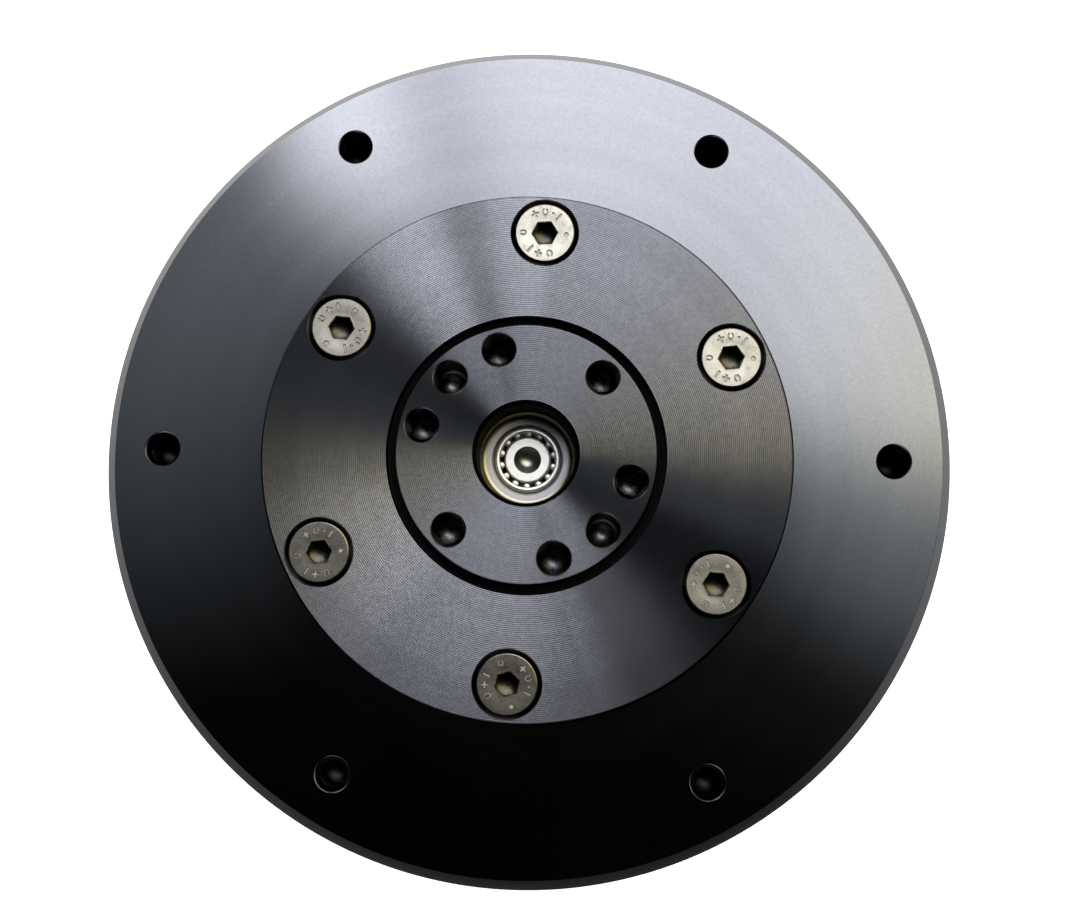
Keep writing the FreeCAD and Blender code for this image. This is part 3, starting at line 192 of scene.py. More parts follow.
# --------------------------------------------------------------- materials
class Mat:
    """small helper to build node materials"""

    def __init__(self, name):
        self.m = bpy.data.materials.new(name)
        self.m.use_nodes = True
        self.t = self.m.node_tree
        self.bsdf = self.t.nodes["Principled BSDF"]
        self.out = self.t.nodes["Material Output"]

    def node(self, kind, **kw):
        n = self.t.nodes.new(kind)
        for k, v in kw.items():
            setattr(n, k, v)
        return n

    def link(self, a, b):
        self.t.links.new(a, b)

    def math(self, op, a, b=None, c=None, clamp=False):
        n = self.node("ShaderNodeMath", operation=op, use_clamp=clamp)
        for i, v in enumerate((a, b, c)):
            if v is None:
                continue
            if isinstance(v, (int, float)):
                n.inputs[i].default_value = v
            else:
                self.link(v, n.inputs[i])
        return n.outputs[0]

    def coords(self):
        tc = self.node("ShaderNodeTexCoord")
        return tc.outputs["Object"]

    def xyz(self, vec):
        s = self.node("ShaderNodeSeparateXYZ")
        self.link(vec, s.inputs[0])
        return s.outputs[0], s.outputs[1], s.outputs[2]

    def noise(self, vec, scale, detail=3.0, rough=0.55, dist=0.0):
        n = self.node("ShaderNodeTexNoise")
        n.inputs["Scale"].default_value = scale
        n.inputs["Detail"].default_value = detail
        n.inputs["Roughness"].default_value = rough
        n.inputs["Distortion"].default_value = dist
        self.link(vec, n.inputs["Vector"])
        return n.outputs["Fac"]

    def combine(self, x, y, z):
        n = self.node("ShaderNodeCombineXYZ")
        for i, v in enumerate((x, y, z)):
            if isinstance(v, (int, float)):
                n.inputs[i].default_value = v
            else:
                self.link(v, n.inputs[i])
        return n.outputs[0]

    def ramp(self, fac, stops, interp="LINEAR"):
        n = self.node("ShaderNodeValToRGB")
        n.color_ramp.interpolation = interp
        el = n.color_ramp.elements
        while len(el) < len(stops):
            el.new(0.5)
        for e, (p, c) in zip(el, stops):
            e.position = p
            e.color = (c, c, c, 1) if isinstance(c, (int, float)) else (*c, 1)
        self.link(fac, n.inputs[0])
        return n.outputs[0]

    def mix(self, fac, a, b, blend="MIX"):
        n = self.node("ShaderNodeMix", data_type="RGBA", blend_type=blend)
        for sock, v in ((n.inputs[0], fac), (n.inputs[6], a), (n.inputs[7], b)):
            if isinstance(v, (int, float)):
                sock.default_value = v
            elif isinstance(v, tuple):
                sock.default_value = (*v, 1)
            else:
                self.link(v, sock)
        return n.outputs[2]

    def bump(self, height, dist, strength=1.0, normal=None):
        n = self.node("ShaderNodeBump")
        n.inputs["Strength"].default_value = strength
        n.inputs["Distance"].default_value = dist
        self.link(height, n.inputs["Height"])
        if normal is not None:
            self.link(normal, n.inputs["Normal"])
        return n.outputs[0]

    def radius(self, cx=0.0, cy=0.0):
        """distance from an upright axis (metres) and the angle about it"""
        x, y, z = self.xyz(self.coords())
        if cx or cy:
            x = self.math("SUBTRACT", x, cx)
            y = self.math("SUBTRACT", y, cy)
        rr = self.math("SQRT", self.math("ADD", self.math("MULTIPLY", x, x), self.math("MULTIPLY", y, y)))
        return rr, self.math("ARCTAN2", y, x), z

    def span(self, v, lo, hi):
        """smooth step from 0 at lo to 1 at hi"""
        n = self.node("ShaderNodeMapRange", interpolation_type="SMOOTHSTEP")
        n.inputs["From Min"].default_value = lo
        n.inputs["From Max"].default_value = hi
        self.link(v, n.inputs["Value"])
        return n.outputs[0]

    def set(self, name, v):
        s = self.bsdf.inputs[name]
        if isinstance(v, (int, float)):
            s.default_value = v
        elif isinstance(v, tuple):
            s.default_value = (*v, 1)
        else:
            self.link(v, s)


def turned_anodised(name, base, rough, aniso, pitch_mm, groove_um, tilt=0.0, face=None, holes=None, gap_shade=None, crown=(90.0, 10.0), outer=None, mottle_amp=0.13, mottle_scale=1900.0, painted_light_sectors=()):
    """black anodised aluminium with lathe marks about the object's axis.
    tilt is the slope of the long facet that the tool leaves, face the height of the outer face in mm,
    crown (r, length) in mm where that slope eases off, holes the ring (r0, r1) in mm in which the drilled holes lie,
    whose insides are painted near black as painted shade, and gap_shade the ring (r0, r1) in mm of the clearance beside
    the next part, whose walls are painted near black as painted shade and made rougher; painted_light_sectors (centre,
    half width, softness in degrees, factor) are where the tone is painted lighter or darker round the ring, as painted
    light and shade"""
    m = Mat(name)
    rr, ang, z = m.radius()
    # surface coordinate along the profile, so that the marks run round faces and walls alike
    s = m.math("ADD", rr, z)
    v1 = m.combine(m.math("MULTIPLY", rr, 3400.0), 0.0, m.math("MULTIPLY", z, 3400.0))
    lines = m.noise(v1, 1.0, 2.0, 0.7)
    v2 = m.combine(m.math("MULTIPLY", rr, 420.0), 0.0, m.math("MULTIPLY", z, 420.0))
    bands = m.noise(v2, 1.0, 4.0, 0.6)
    wave = m.math("SINE", m.math("MULTIPLY", s, 2 * math.pi / (pitch_mm * MM)))
    height = m.math("MULTIPLY", m.math("ADD", m.math("MULTIPLY", wave, 0.5), m.math("MULTIPLY", lines, 0.75)), groove_um * 1e-6)
    if tilt:
        # slightly crowned: the slope eases off beyond crown
        over = m.math("MAXIMUM", m.math("SUBTRACT", rr, crown[0] * MM), 0.0)
        ease = m.math("DIVIDE", m.math("MULTIPLY", over, over), 2.0 * crown[1] * MM)
        height = m.math("ADD", height, m.math("MULTIPLY", m.math("SUBTRACT", rr, ease), tilt))
    co = m.coords()
    grain = m.noise(co, 5200.0, 2.0, 0.6)
    height = m.math("ADD", height, m.math("MULTIPLY", grain, 0.35e-6))
    b = m.bump(height, 1.0, 1.0)
    # faint lint-like specks and smudges
    smudge = m.noise(co, 55.0, 5.0, 0.6, 0.3)
    speck = m.noise(co, 2300.0, 2.0, 0.5)
    grit = m.ramp(speck, [(0.0, 0.0), (0.72, 0.0), (0.80, 1.0)])
    mottle = m.noise(co, mottle_scale, 3.0, 0.65)
    tone = m.ramp(bands, [(0.25, tuple(c * 0.93 for c in base)), (0.75, tuple(c * 1.06 for c in base))])
    tone = m.mix(1.0, tone, m.ramp(mottle, [(0.25, 1.0 - mottle_amp), (0.75, 1.0 + mottle_amp)]), "MULTIPLY")
    tone = m.mix(m.math("MULTIPLY", grit, 0.06), tone, (0.35, 0.35, 0.36))
    r_ = m.math("ADD", rough, m.math("MULTIPLY", m.math("SUBTRACT", smudge, 0.5), 0.06))
    r_ = m.math("ADD", r_, m.math("MULTIPLY", m.math("SUBTRACT", bands, 0.5), 0.02))
    if face is not None:
        # inside the drilled holes the tone is painted near black below the face: painted shade in the recesses; the
        # anodising there is also duller
        deep = m.node("ShaderNodeMapRange")
        deep.inputs["From Min"].default_value = (face - 0.15) * MM
        deep.inputs["From Max"].default_value = (face - 0.012) * MM
        deep.inputs["To Min"].default_value = 1.0
        deep.inputs["To Max"].default_value = 0.0
        m.link(z, deep.inputs["Value"])
        k = m.math("MULTIPLY", deep.outputs[0], m.math("GREATER_THAN", rr, holes[0] * MM))
        k = m.math("MULTIPLY", k, m.math("LESS_THAN", rr, holes[1] * MM))
        k = m.math("MULTIPLY", k, m.math("GREATER_THAN", z, (face - 5.4) * MM))
        tone = m.mix(k, tone, (0.014, 0.014, 0.015))
        r_ = m.math("ADD", r_, m.math("MULTIPLY", k, 0.15))
    if outer is not None:
        tone = m.mix(m.math("MULTIPLY", m.span(rr, outer[0] * MM, outer[1] * MM), outer[2]), tone, (0.0, 0.0, 0.0))
    # painted light and shade: in each sector round the ring the tone is scaled by its factor, lighter or darker, to
    # stand in for uneven light
    for mid, half, soft, factor in painted_light_sectors:
        near_ = m.math("COSINE", m.math("SUBTRACT", ang, math.radians(mid)))
        k = m.span(near_, math.cos(math.radians(half + soft)), math.cos(math.radians(half - soft)))
        tone = m.mix(k, tone, m.mix(1.0, tone, (factor, factor, factor), "MULTIPLY"))
    # painted shade: in the clearance ring the walls below the face are painted near black and made rougher
    if gap_shade is not None:
        k = m.math("MULTIPLY", m.math("GREATER_THAN", rr, gap_shade[0] * MM), m.math("LESS_THAN", rr, gap_shade[1] * MM))
        k = m.math("MULTIPLY", k, m.math("LESS_THAN", z, (face - 0.02) * MM))
        tone = m.mix(k, tone, (0.010, 0.010, 0.011))
        r_ = m.math("ADD", r_, m.math("MULTIPLY", k, 0.12))
    m.set("Base Color", tone)
    m.set("Metallic", 1.0)
    m.set("Roughness", r_)
    m.set("Anisotropic", aniso)
    m.set("Anisotropic Rotation", 0.25)
    m.link(b, m.bsdf.inputs["Normal"])
    t = m.node("ShaderNodeTangent", direction_type="RADIAL", axis="Z")
    m.link(t.outputs[0], m.bsdf.inputs["Tangent"])
    return m.m


def metal(name, base, rough, scale=300.0, var=0.1, lines=0.0, aniso=0.0, stain=None):
    """plain machined or ground metal with fine grain and tone variation"""
    m = Mat(name)
    co = m.coords()
    n1 = m.noise(co, scale, 4.0, 0.6)
    n2 = m.noise(co, scale * 6, 2.0, 0.5)
    tone = m.ramp(n1, [(0.3, tuple(c * (1 - var) for c in base)), (0.7, tuple(min(1, c * (1 + var)) for c in base))])
    if stain is not None:
        n3 = m.noise(co, scale * 0.4, 5.0, 0.65, 0.5)
        tone = m.mix(m.ramp(n3, [(0.5, 0.0), (0.72, 1.0)]), tone, stain)
    m.set("Base Color", tone)
    m.set("Metallic", 1.0)
    m.set("Roughness", m.math("ADD", rough, m.math("MULTIPLY", m.math("SUBTRACT", n1, 0.5), 0.2)))
    m.set("Anisotropic", aniso)
    h = n2
    if lines:
        rr, ang, z = m.radius()
        v = m.combine(m.math("MULTIPLY", rr, lines), 0.0, m.math("MULTIPLY", z, lines))
        h = m.noise(v, 1.0, 2.0, 0.6)
        t = m.node("ShaderNodeTangent", direction_type="RADIAL", axis="Z")
        m.link(t.outputs[0], m.bsdf.inputs["Tangent"])
    m.link(m.bump(h, 2e-6, 0.6), m.bsdf.inputs["Normal"])
    return m.m


def screw_metal(name, base):
    """nickel-plated socket screw: satin head with stains; the socket is painted dark, as painted shade"""
    m = Mat(name)
    co = m.coords()
    x, y, z = m.xyz(co)
    n1 = m.noise(co, 1500.0, 4.0, 0.65)
    n2 = m.noise(co, 420.0, 4.0, 0.6, 0.6)
    fine = m.noise(co, 7000.0, 2.0, 0.5)
    tone = m.ramp(n2, [(0.32, tuple(c * 0.86 for c in base)), (0.68, tuple(c * 1.10 for c in base))])
    tone = m.mix(m.ramp(n1, [(0.54, 0.0), (0.74, 0.55)]), tone, (0.11, 0.098, 0.07))
    # painted shade: below the head face the socket is painted near black under 38.64 mm, with a pale band above it that
    # also colours the floors of the stamped marks
    deep = m.node("ShaderNodeMapRange")
    deep.inputs["From Min"].default_value = 38.700 * MM
    deep.inputs["From Max"].default_value = 38.757 * MM
    deep.inputs["To Min"].default_value = 1.0
    deep.inputs["To Max"].default_value = 0.0
    m.link(z, deep.inputs["Value"])
    core = m.math("LESS_THAN", z, 38.64 * MM)
    tone = m.mix(deep.outputs[0], tone, m.mix(core, (0.40, 0.375, 0.31), (0.040, 0.037, 0.029)))
    # painted shadow: a dark band from 38.672 to 38.75 mm over the socket walls and the ledges of the stamped marks
    shaded_flank = m.math("MULTIPLY", m.span(z, 38.664 * MM, 38.672 * MM), m.span(z, 38.759 * MM, 38.750 * MM))
    tone = m.mix(m.math("MULTIPLY", shaded_flank, 0.85), tone, (0.045, 0.041, 0.031))
    m.set("Base Color", tone)
    m.set("Metallic", 1.0)
    edge_ = m.math("MULTIPLY", deep.outputs[0], m.math("SUBTRACT", 1.0, core))
    r_ = m.math("ADD", 0.27, m.math("MULTIPLY", m.math("SUBTRACT", n1, 0.5), 0.16))
    m.set("Roughness", m.math("ADD", r_, m.math("MULTIPLY", edge_, 0.34)))
    m.link(m.bump(fine, 1.2e-6, 0.8), m.bsdf.inputs["Normal"])
    return m.m


def shaft_metal(name):
    """ground shaft end; the centre dimple is painted darker, as painted shade in the hollow, and is smoother"""
    m = Mat(name)
    co = m.coords()
    rr, ang, z = m.radius()
    n1 = m.noise(co, 1300.0, 4.0, 0.6)
    v = m.combine(m.math("MULTIPLY", rr, 9000.0), 0.0, m.math("MULTIPLY", z, 9000.0))
    fine = m.noise(v, 1.0, 2.0, 0.6)
    tone = m.ramp(n1, [(0.3, (0.62, 0.625, 0.62)), (0.7, (0.72, 0.72, 0.72))])
    # painted shade: inside the centre dimple the tone is painted darker
    dim = m.math("LESS_THAN", rr, 1.31 * MM)
    tone = m.mix(dim, tone, (0.205, 0.207, 0.19))
    m.set("Base Color", tone)
    m.set("Metallic", 1.0)
    m.set("Roughness", m.math("SUBTRACT", 0.52, m.math("MULTIPLY", dim, 0.20)))
    m.link(m.bump(fine, 2e-6, 0.6), m.bsdf.inputs["Normal"])
    return m.m


def bore_metal(name):
    """centre bore: black broken mouth and upper wall, bare tan fillet, pale turned floor"""
    m = Mat(name)
    co = m.coords()
    rr, ang, z = m.radius()
    n1 = m.noise(co, 900.0, 4.0, 0.6)
    v = m.combine(m.math("MULTIPLY", rr, 5000.0), 0.0, m.math("MULTIPLY", z, 5000.0))
    fine = m.noise(v, 1.0, 3.0, 0.6)
    tan = m.ramp(n1, [(0.3, (0.165, 0.162, 0.122)), (0.7, (0.22, 0.215, 0.17))])
    pale = m.ramp(fine, [(0.3, (0.33, 0.32, 0.35)), (0.7, (0.43, 0.42, 0.455))])
    wall = m.span(z, 35.05 * MM, 35.5 * MM)
    mouth = m.span(z, 39.0 * MM, 39.12 * MM)
    floor_ = m.math("MULTIPLY", m.span(rr, 3.90 * MM, 3.80 * MM), m.span(rr, 3.33 * MM, 3.37 * MM))
    tone = m.mix(wall, tan, m.mix(mouth, (0.070, 0.068, 0.052), (0.003, 0.003, 0.003)))
    tone = m.mix(floor_, tone, pale)
    m.set("Base Color", tone)
    m.set("Metallic", 1.0)
    m.set("Specular Tint", (0.12, 0.12, 0.12))
    r_ = m.math("ADD", 0.30, m.math("MULTIPLY", m.math("MAXIMUM", floor_, wall), 0.24))
    m.set("Roughness", m.math("ADD", r_, m.math("MULTIPLY", m.math("SUBTRACT", n1, 0.5), 0.12)))
    m.link(m.bump(fine, 1.5e-6, 0.7), m.bsdf.inputs["Normal"])
    return m.m


def plastic(name, base, rough=0.45, scale=900.0, grain=4e-6, spec=0.5, sub=0.0):
    m = Mat(name)
    co = m.coords()
    n1 = m.noise(co, scale, 3.0, 0.6)
    n2 = m.noise(co, scale * 0.08, 4.0, 0.6)
    tone = m.ramp(n2, [(0.3, tuple(c * 0.86 for c in base)), (0.7, tuple(min(1, c * 1.1) for c in base))])
    m.set("Base Color", tone)
    m.set("Roughness", m.math("ADD", rough, m.math("MULTIPLY", m.math("SUBTRACT", n1, 0.5), 0.18)))
    m.set("Specular IOR Level", spec)
    m.link(m.bump(n1, grain, 0.7), m.bsdf.inputs["Normal"])
    return m.m


def use(ob, mat):
    ob.data.materials.clear()
    ob.data.materials.append(mat)
    for p in ob.data.polygons:
        p.material_index = 0
    return ob


M_FLANGE = turned_anodised("flange_anodised", (0.130, 0.132, 0.140), 0.115, 0.0, 0.16, 0.10, face=38.0, holes=(32.0, 36.0),
                           gap_shade=(24.6, 24.77), mottle_amp=0.10, mottle_scale=4200.0)
# the cap's tone is painted lighter in three sectors and darker in one round the ring: painted light and shade
M_CAP = turned_anodised("cap_anodised", (0.132, 0.133, 0.145), 0.198, 1.0, 0.18, 3.2, tilt=0.045, crown=(17.5, 18.0), outer=(18.5, 23.0, 0.17), face=38.8, holes=(17.5, 24.4), gap_shade=(12.8, 13.4),
                       painted_light_sectors=((315.5, 23.0, 6.0, 0.42), (211.0, 17.0, 10.0, 1.42), (125.0, 11.0, 7.0, 1.45), (93.0, 5.0, 6.0, 1.25)))
M_DISC = turned_anodised("disc_anodised", (0.106, 0.108, 0.119), 0.208, 1.0, 0.18, 2.8, tilt=0.035, face=39.5, holes=(8.2, 11.9), gap_shade=(11.99, 12.6))
M_REAR = turned_anodised("rear_anodised", (0.13, 0.132, 0.14), 0.26, 0.35, 0.18, 0.5)
M_SCREW = screw_metal("screw_nickel", (0.275, 0.261, 0.222))
M_BORE = bore_metal("bore_metal")
M_DRILL = metal("drilled_metal", (0.20, 0.20, 0.20), 0.27, 1500.0, 0.15)
M_MOUTH = metal("socket_mouth", (0.62, 0.59, 0.48), 0.36, 900.0, 0.12)
# near-black dull material for the walls of the clearances between parts: painted shade
M_GAP_SHADE = plastic("gap_painted_shade", (0.003, 0.003, 0.0033), 0.8, 1200.0, spec=0.0)
M_STEEL = metal("bearing_steel", (0.70, 0.695, 0.66), 0.38, 500.0, 0.05, lines=6000.0)
M_NEEDLE = metal("needle_steel", (0.50, 0.49, 0.46), 0.46, 900.0, 0.2)
M_GEAR = metal("gear_steel", (0.50, 0.50, 0.51), 0.32, 400.0, 0.12)
M_SHAFT = shaft_metal("shaft_steel")
M_BLACKSCREW = metal("screw_black", (0.055, 0.055, 0.06), 0.35, 700.0, 0.2)
M_ALU = metal("machined_aluminium", (0.75, 0.75, 0.77), 0.30, 300.0, 0.06, lines=5000.0, aniso=0.4)
M_BRONZE = metal("bronze", (0.55, 0.33, 0.14), 0.38, 700.0, 0.15)
M_YOKE = metal("yoke_steel", (0.28, 0.28, 0.30), 0.36, 300.0, 0.12, lines=4000.0)
M_MAGNET = metal("magnet_nickel", (0.62, 0.61, 0.60), 0.22, 500.0, 0.1)
M_CAGE = metal("cage_steel", (0.55, 0.51, 0.42), 0.34, 600.0, 0.1)
M_RUBBER = plastic("seal_rubber", (0.0035, 0.0035, 0.0038), 0.75, 900.0, spec=0.06)
M_NYLON = plastic("insulator", (0.72, 0.69, 0.60), 0.5)
M_CHIP = plastic("chip_black", (0.02, 0.02, 0.022), 0.5, 2000.0)
M_CERAMIC = plastic("ceramic_tan", (0.50, 0.36, 0.22), 0.5, 1500.0)
M_SLEEVE = plastic("capacitor_sleeve", (0.02, 0.02, 0.03), 0.25)
M_PAD = plastic("pad_grey", (0.36, 0.42, 0.48), 0.75, 1500.0)
M_LEAD = plastic("lead_sleeve", (0.45, 0.02, 0.015), 0.5)
M_AMBER = plastic("socket_amber", (0.70, 0.42, 0.03), 0.38)
M_IVORY = plastic("socket_ivory", (0.72, 0.68, 0.57), 0.42)
M_LENS = plastic("lens_clear", (0.45, 0.75, 0.55), 0.12)
M_GOLD = metal("pin_gold", (0.85, 0.60, 0.22), 0.22, 800.0, 0.08)

# wound copper: turns show as fine ridges round each coil
mw = Mat("copper_wire")
x_, y_, z_ = mw.xyz(mw.coords())
rr_, an_, zz_ = mw.radius()
rid = mw.math("SINE", mw.math("MULTIPLY", rr_, 2 * math.pi / 0.00042))
mw.set("Base Color", mw.ramp(mw.noise(mw.coords(), 700.0), [(0.3, (0.42, 0.14, 0.045)), (0.7, (0.62, 0.24, 0.08))]))
mw.set("Metallic", 0.85)
mw.set("Roughness", mw.math("ADD", 0.3, mw.math("MULTIPLY", rid, 0.05)))
mw.link(mw.bump(rid, 9e-5, 0.8), mw.bsdf.inputs["Normal"])
M_COPPER = mw.m

# laminations: fine horizontal lines
ml = Mat("electrical_steel")
rr_, an_, zz_ = ml.radius()
lam = ml.math("SINE", ml.math("MULTIPLY", zz_, 2 * math.pi / 0.00035))
ml.set("Base Color", ml.ramp(ml.math("ADD", ml.math("MULTIPLY", lam, 0.5), 0.5), [(0.1, (0.10, 0.10, 0.11)), (0.6, (0.36, 0.37, 0.40))]))
ml.set("Metallic", 0.9)
ml.set("Roughness", ml.math("ADD", 0.38, ml.math("MULTIPLY", ml.noise(ml.coords(), 600.0), 0.1)))
ml.link(ml.bump(lam, 4e-5, 0.7), ml.bsdf.inputs["Normal"])
M_LAM = ml.m

# board: green mask with tracks and pads
mb = Mat("board_green")
co = mb.coords()
br = mb.node("ShaderNodeTexBrick")
br.inputs["Scale"].default_value = 420.0
br.inputs["Mortar Size"].default_value = 0.03
mb.link(co, br.inputs["Vector"])
vor = mb.node("ShaderNodeTexVoronoi")
vor.inputs["Scale"].default_value = 330.0
mb.link(co, vor.inputs["Vector"])
pads = mb.ramp(vor.outputs["Distance"], [(0.10, 1.0), (0.13, 0.0)])
tone = mb.mix(br.outputs["Fac"], (0.008, 0.075, 0.035), (0.016, 0.12, 0.055))
tone = mb.mix(pads, tone, (0.65, 0.50, 0.22))
mb.set("Base Color", tone)
mb.set("Roughness", mb.math("ADD", 0.3, mb.math("MULTIPLY", mb.noise(co, 500.0), 0.15)))
mb.link(mb.bump(br.outputs["Fac"], 3e-5, 0.5), mb.bsdf.inputs["Normal"])
M_BOARD = mb.m

SLOT_MATS = {
    "housing_anodised": M_FLANGE, "cap_anodised": M_CAP, "disc_anodised": M_DISC, "rear_anodised": M_REAR,
    "screw_nickel": M_SCREW, "screw_black": M_BLACKSCREW, "gear_steel": M_GEAR, "bearing_steel": M_STEEL,
    "cage_steel": M_CAGE, "machined_aluminium": M_ALU, "bronze": M_BRONZE, "electrical_steel": M_LAM,
    "copper_wire": M_COPPER, "magnet_nickel": M_MAGNET, "yoke_steel": M_YOKE, "insulator": M_NYLON,
    "lead_sleeve": M_LEAD, "board_green": M_BOARD, "chip_black": M_CHIP, "ceramic_tan": M_CERAMIC,
    "capacitor_sleeve": M_SLEEVE, "pad_grey": M_PAD, "seal_rubber": M_RUBBER, "socket_amber": M_AMBER,
    "socket_ivory": M_IVORY, "pin_gold": M_GOLD, "lens_clear": M_LENS,
}
for sp in frame["record"]["subparts"]:
    use(NODES[sp["node"]], SLOT_MATS[sp["material_slot"]])
use(NODES["sun_gear_shaft"], M_SHAFT)

# -------------------------------------------------------- front housing
E = 0.05          # small edge break
prof = [(36.0, 14.0), (39.2, 14.0), (39.5, 14.3)]
for k in range(5):
    z0 = 17.2 + 3.3 * k
    prof += [(39.5, z0), (38.45, z0), (38.45, z0 + 1.4), (39.5, z0 + 1.4)]
prof += [(39.5, 36.6, 0.12), (38.44, 38.0, 0.07), (24.78, 38.0, 0.0), (24.68, 37.9, 0.0), (24.68, 36.0, 0.0), (18.0, 36.0, 0.0), (18.0, 21.0, 0.0),
         (13.5, 21.0, 0.0), (13.5, 16.8, 0.0), (12.3, 16.8, 0.0), (12.3, 16.0, 0.0), (20.7, 16.0, 0.0), (21.0, 16.3, 0.0), (21.0, 31.6, 0.0),
         (34.0, 31.6, 0.0), (34.0, 16.0, 0.0), (36.0, 16.0, 0.0)]
bm = bmesh.new()
lathe_bm(bm, rounded(prof, 0.08, 2), 360)
housing = finish_mesh("housing_shell", bm)
cut = bmesh.new()
for k in range(6):
    x, y = polar(34.0, 60 * k)
    p = [(0, 32.7), (1.25, 33.3)] + thread_prof(1.47, 1.25, 37.4, 33.5) + [(1.40, 37.55), (1.5, 37.84), (1.60, 37.95), (1.70, 38.02), (1.70, 38.6), (0, 38.6)]
    lathe_bm(cut, p, 40, (x, y))
    x, y = polar(21.09, A_CAP + 60 * k)
    lathe_bm(cut, [(0, 31.9), (1.5, 32.4), (1.5, 36.5), (0, 36.5)], 24, (x, y))
    x, y = polar(36.8, 60 * k)
    lathe_bm(cut, [(0, 22.6), (1.3, 22.0), (1.3, 13.5), (0, 13.5)], 24, (x, y))
for a in (78.0, 90.0, 102.0):
    c, s = math.cos(math.radians(a)), math.sin(math.radians(a))
    prism_bm(cut, [(u * c - w * s, u * s + w * c) for u, w in
                   ((33.3, -0.85), (35.3, -0.85), (35.95, -0.4), (35.95, 0.4), (35.3, 0.85), (33.3, 0.85))], 13.0, 31.6)
boolean(housing, cut)
weighted(housing)
use(housing, M_FLANGE)
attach(housing, "housing"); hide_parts("front_housing")

# ----------------------------------------------------------- bearing cap
prof = [(12.94, 38.72), (13.02, 38.8), (24.46, 38.8), (24.56, 38.70), (24.56, 36.0), (17.98, 36.0), (17.98, 31.3), (16.0, 31.3),
        (16.0, 36.0), (14.2, 36.0), (14.2, 37.7), (12.94, 37.7)]
bm = bmesh.new()
lathe_bm(bm, prof, 360)
cap = finish_mesh("bearing_cap", bm)
cut = bmesh.new()
for k in range(6):
    x, y = polar(21.09, A_CAP + 60 * k)
    lathe_bm(cut, [(0, 35.5), (1.7, 35.5), (1.7, 37.25), (3.2, 38.75), (3.24, 38.80), (3.24, 39.3), (0, 39.3)], 72, (x, y))
boolean(cap, cut)
weighted(cap)
use(cap, M_CAP)
# painted shade: the cap's bore wall in the clearance round the output disc takes the near-black material
cap.data.materials.append(M_GAP_SHADE)
for f in cap.data.polygons:
    c = f.center / MM
    if math.hypot(c.x, c.y) < 13.01 and c.z < 38.77:
        f.material_index = 1
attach(cap, "housing"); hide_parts("front_bearing_cap")

# --------------------------------------------------------- output flange
prof = [(4.97, 39.5), (11.97, 39.5), (12.07, 39.4), (12.07, 36.0), (12.5, 36.0), (12.5, 32.0), (13.2, 32.0), (13.2, 31.3),
        (13.9, 31.3), (13.9, 23.0), (8.5, 23.0), (8.5, 31.3), (3.25, 31.3), (3.25, 34.3), (3.40, 34.45), (3.85, 34.45)]
for k in range(1, 13):
    a = math.pi / 2 * k / 12
    prof.append((3.85 + 0.75 * math.sin(a), 34.45 + 0.75 * (1 - math.cos(a))))
prof += [(4.6, 39.13)]
bm = bmesh.new()
lathe_bm(bm, prof, 240)
disc = finish_mesh("output_disc", bm)
cut = bmesh.new()
for k in range(6):
    x, y = polar(10.0, A_OUT + 60 * k)
    p = [(0, 34.0), (1.25, 34.6)] + thread_prof(1.47, 1.25, 38.9, 34.8) + [(1.40, 39.05), (1.5, 39.34), (1.60, 39.45), (1.70, 39.52), (1.70, 40.1), (0, 40.1)]
    lathe_bm(cut, p, 40, (x, y))
for k in range(2):
    x, y = polar(10.0, A_DOWEL + 180 * k)
    lathe_bm(cut, [(0, 34.30), (0.4, 34.33), (0.8, 34.43), (1.15, 34.62), (1.4, 34.85), (1.5, 35.05), (1.5, 39.34), (1.60, 39.45), (1.70, 39.52), (1.70, 40.1), (0, 40.1)], 48, (x, y))
for k in range(3):
    x, y = polar(9.0, A_PLANET + 120 * k)
    lathe_bm(cut, [(0, 22.0), (6.95, 22.0), (6.95, 31.3), (1.5, 31.3), (1.5, 33.4), (0, 33.4)], 96, (x, y))
    x, y = polar(11.7, A_COLUMN + 120 * k)
    lathe_bm(cut, [(0, 22.5), (1.0, 22.5), (1.0, 29.0), (0, 29.5)], 24, (x, y))
boolean(disc, cut)
weighted(disc)
use(disc, M_DISC)
disc.data.materials.append(M_BORE)
disc.data.materials.append(M_DRILL)
# painted shade: the disc's outer wall in the clearance takes the near-black material
disc.data.materials.append(M_GAP_SHADE)
for f in disc.data.polygons:
    c = f.center / MM
    cr = math.hypot(c.x, c.y)
    if cr < 5.1 and 34.0 < c.z < 39.499:
        f.material_index = 1
    elif 8.2 < cr < 11.8 and 33.9 < c.z < 35.02:
        f.material_index = 2
    elif 11.99 < cr < 12.6 and 35.5 < c.z < 39.42:
        f.material_index = 3
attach(disc, "output"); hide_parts("output_flange")

# ------------------------------------------------------------ cap screws
def stamp(cut, cx, cy, rad, ang, kind, size, top, deep, inset):
    """small punched mark on a screw head: dash across the rim, cross, open ring or dot; the ledge round it is
    cut first and the core, inset from it, in a second pass"""
    c, s = math.cos(math.radians(ang)), math.sin(math.radians(ang))

    def w(u, v):
        return cx + (rad + u) * c - v * s, cy + (rad + u) * s + v * c
    h, e = size / 2 - inset, 0.12 - inset
    if kind == "dot":
        pts = [w(h * math.cos(t * math.pi / 6), h * math.sin(t * math.pi / 6)) for t in range(12)]
    elif kind == "plus":
        pts = [w(u, v) for u, v in ((-e, -h), (e, -h), (e, -e), (h, -e), (h, e), (e, e), (e, h), (-e, h), (-e, e), (-h, e), (-h, -e), (-e, -e))]
    elif kind == "ring":
        # open ring, so that it stays one closed outline
        gap_ = 0.35 + inset / h
        g = h - 0.20 + 2.0 * inset
        turn = [gap_ + k * (2 * math.pi - 2 * gap_) / 15 for k in range(16)]
        pts = [w(h * math.cos(t), h * 0.8 * math.sin(t)) for t in turn] + [w(g * math.cos(t), g * 0.8 * math.sin(t)) for t in reversed(turn)]
    else:
        pts = [w(-h, -e), w(h, -e), w(h, e), w(-h, e)]
    prism_bm(cut, pts, top - deep, top + 0.3)


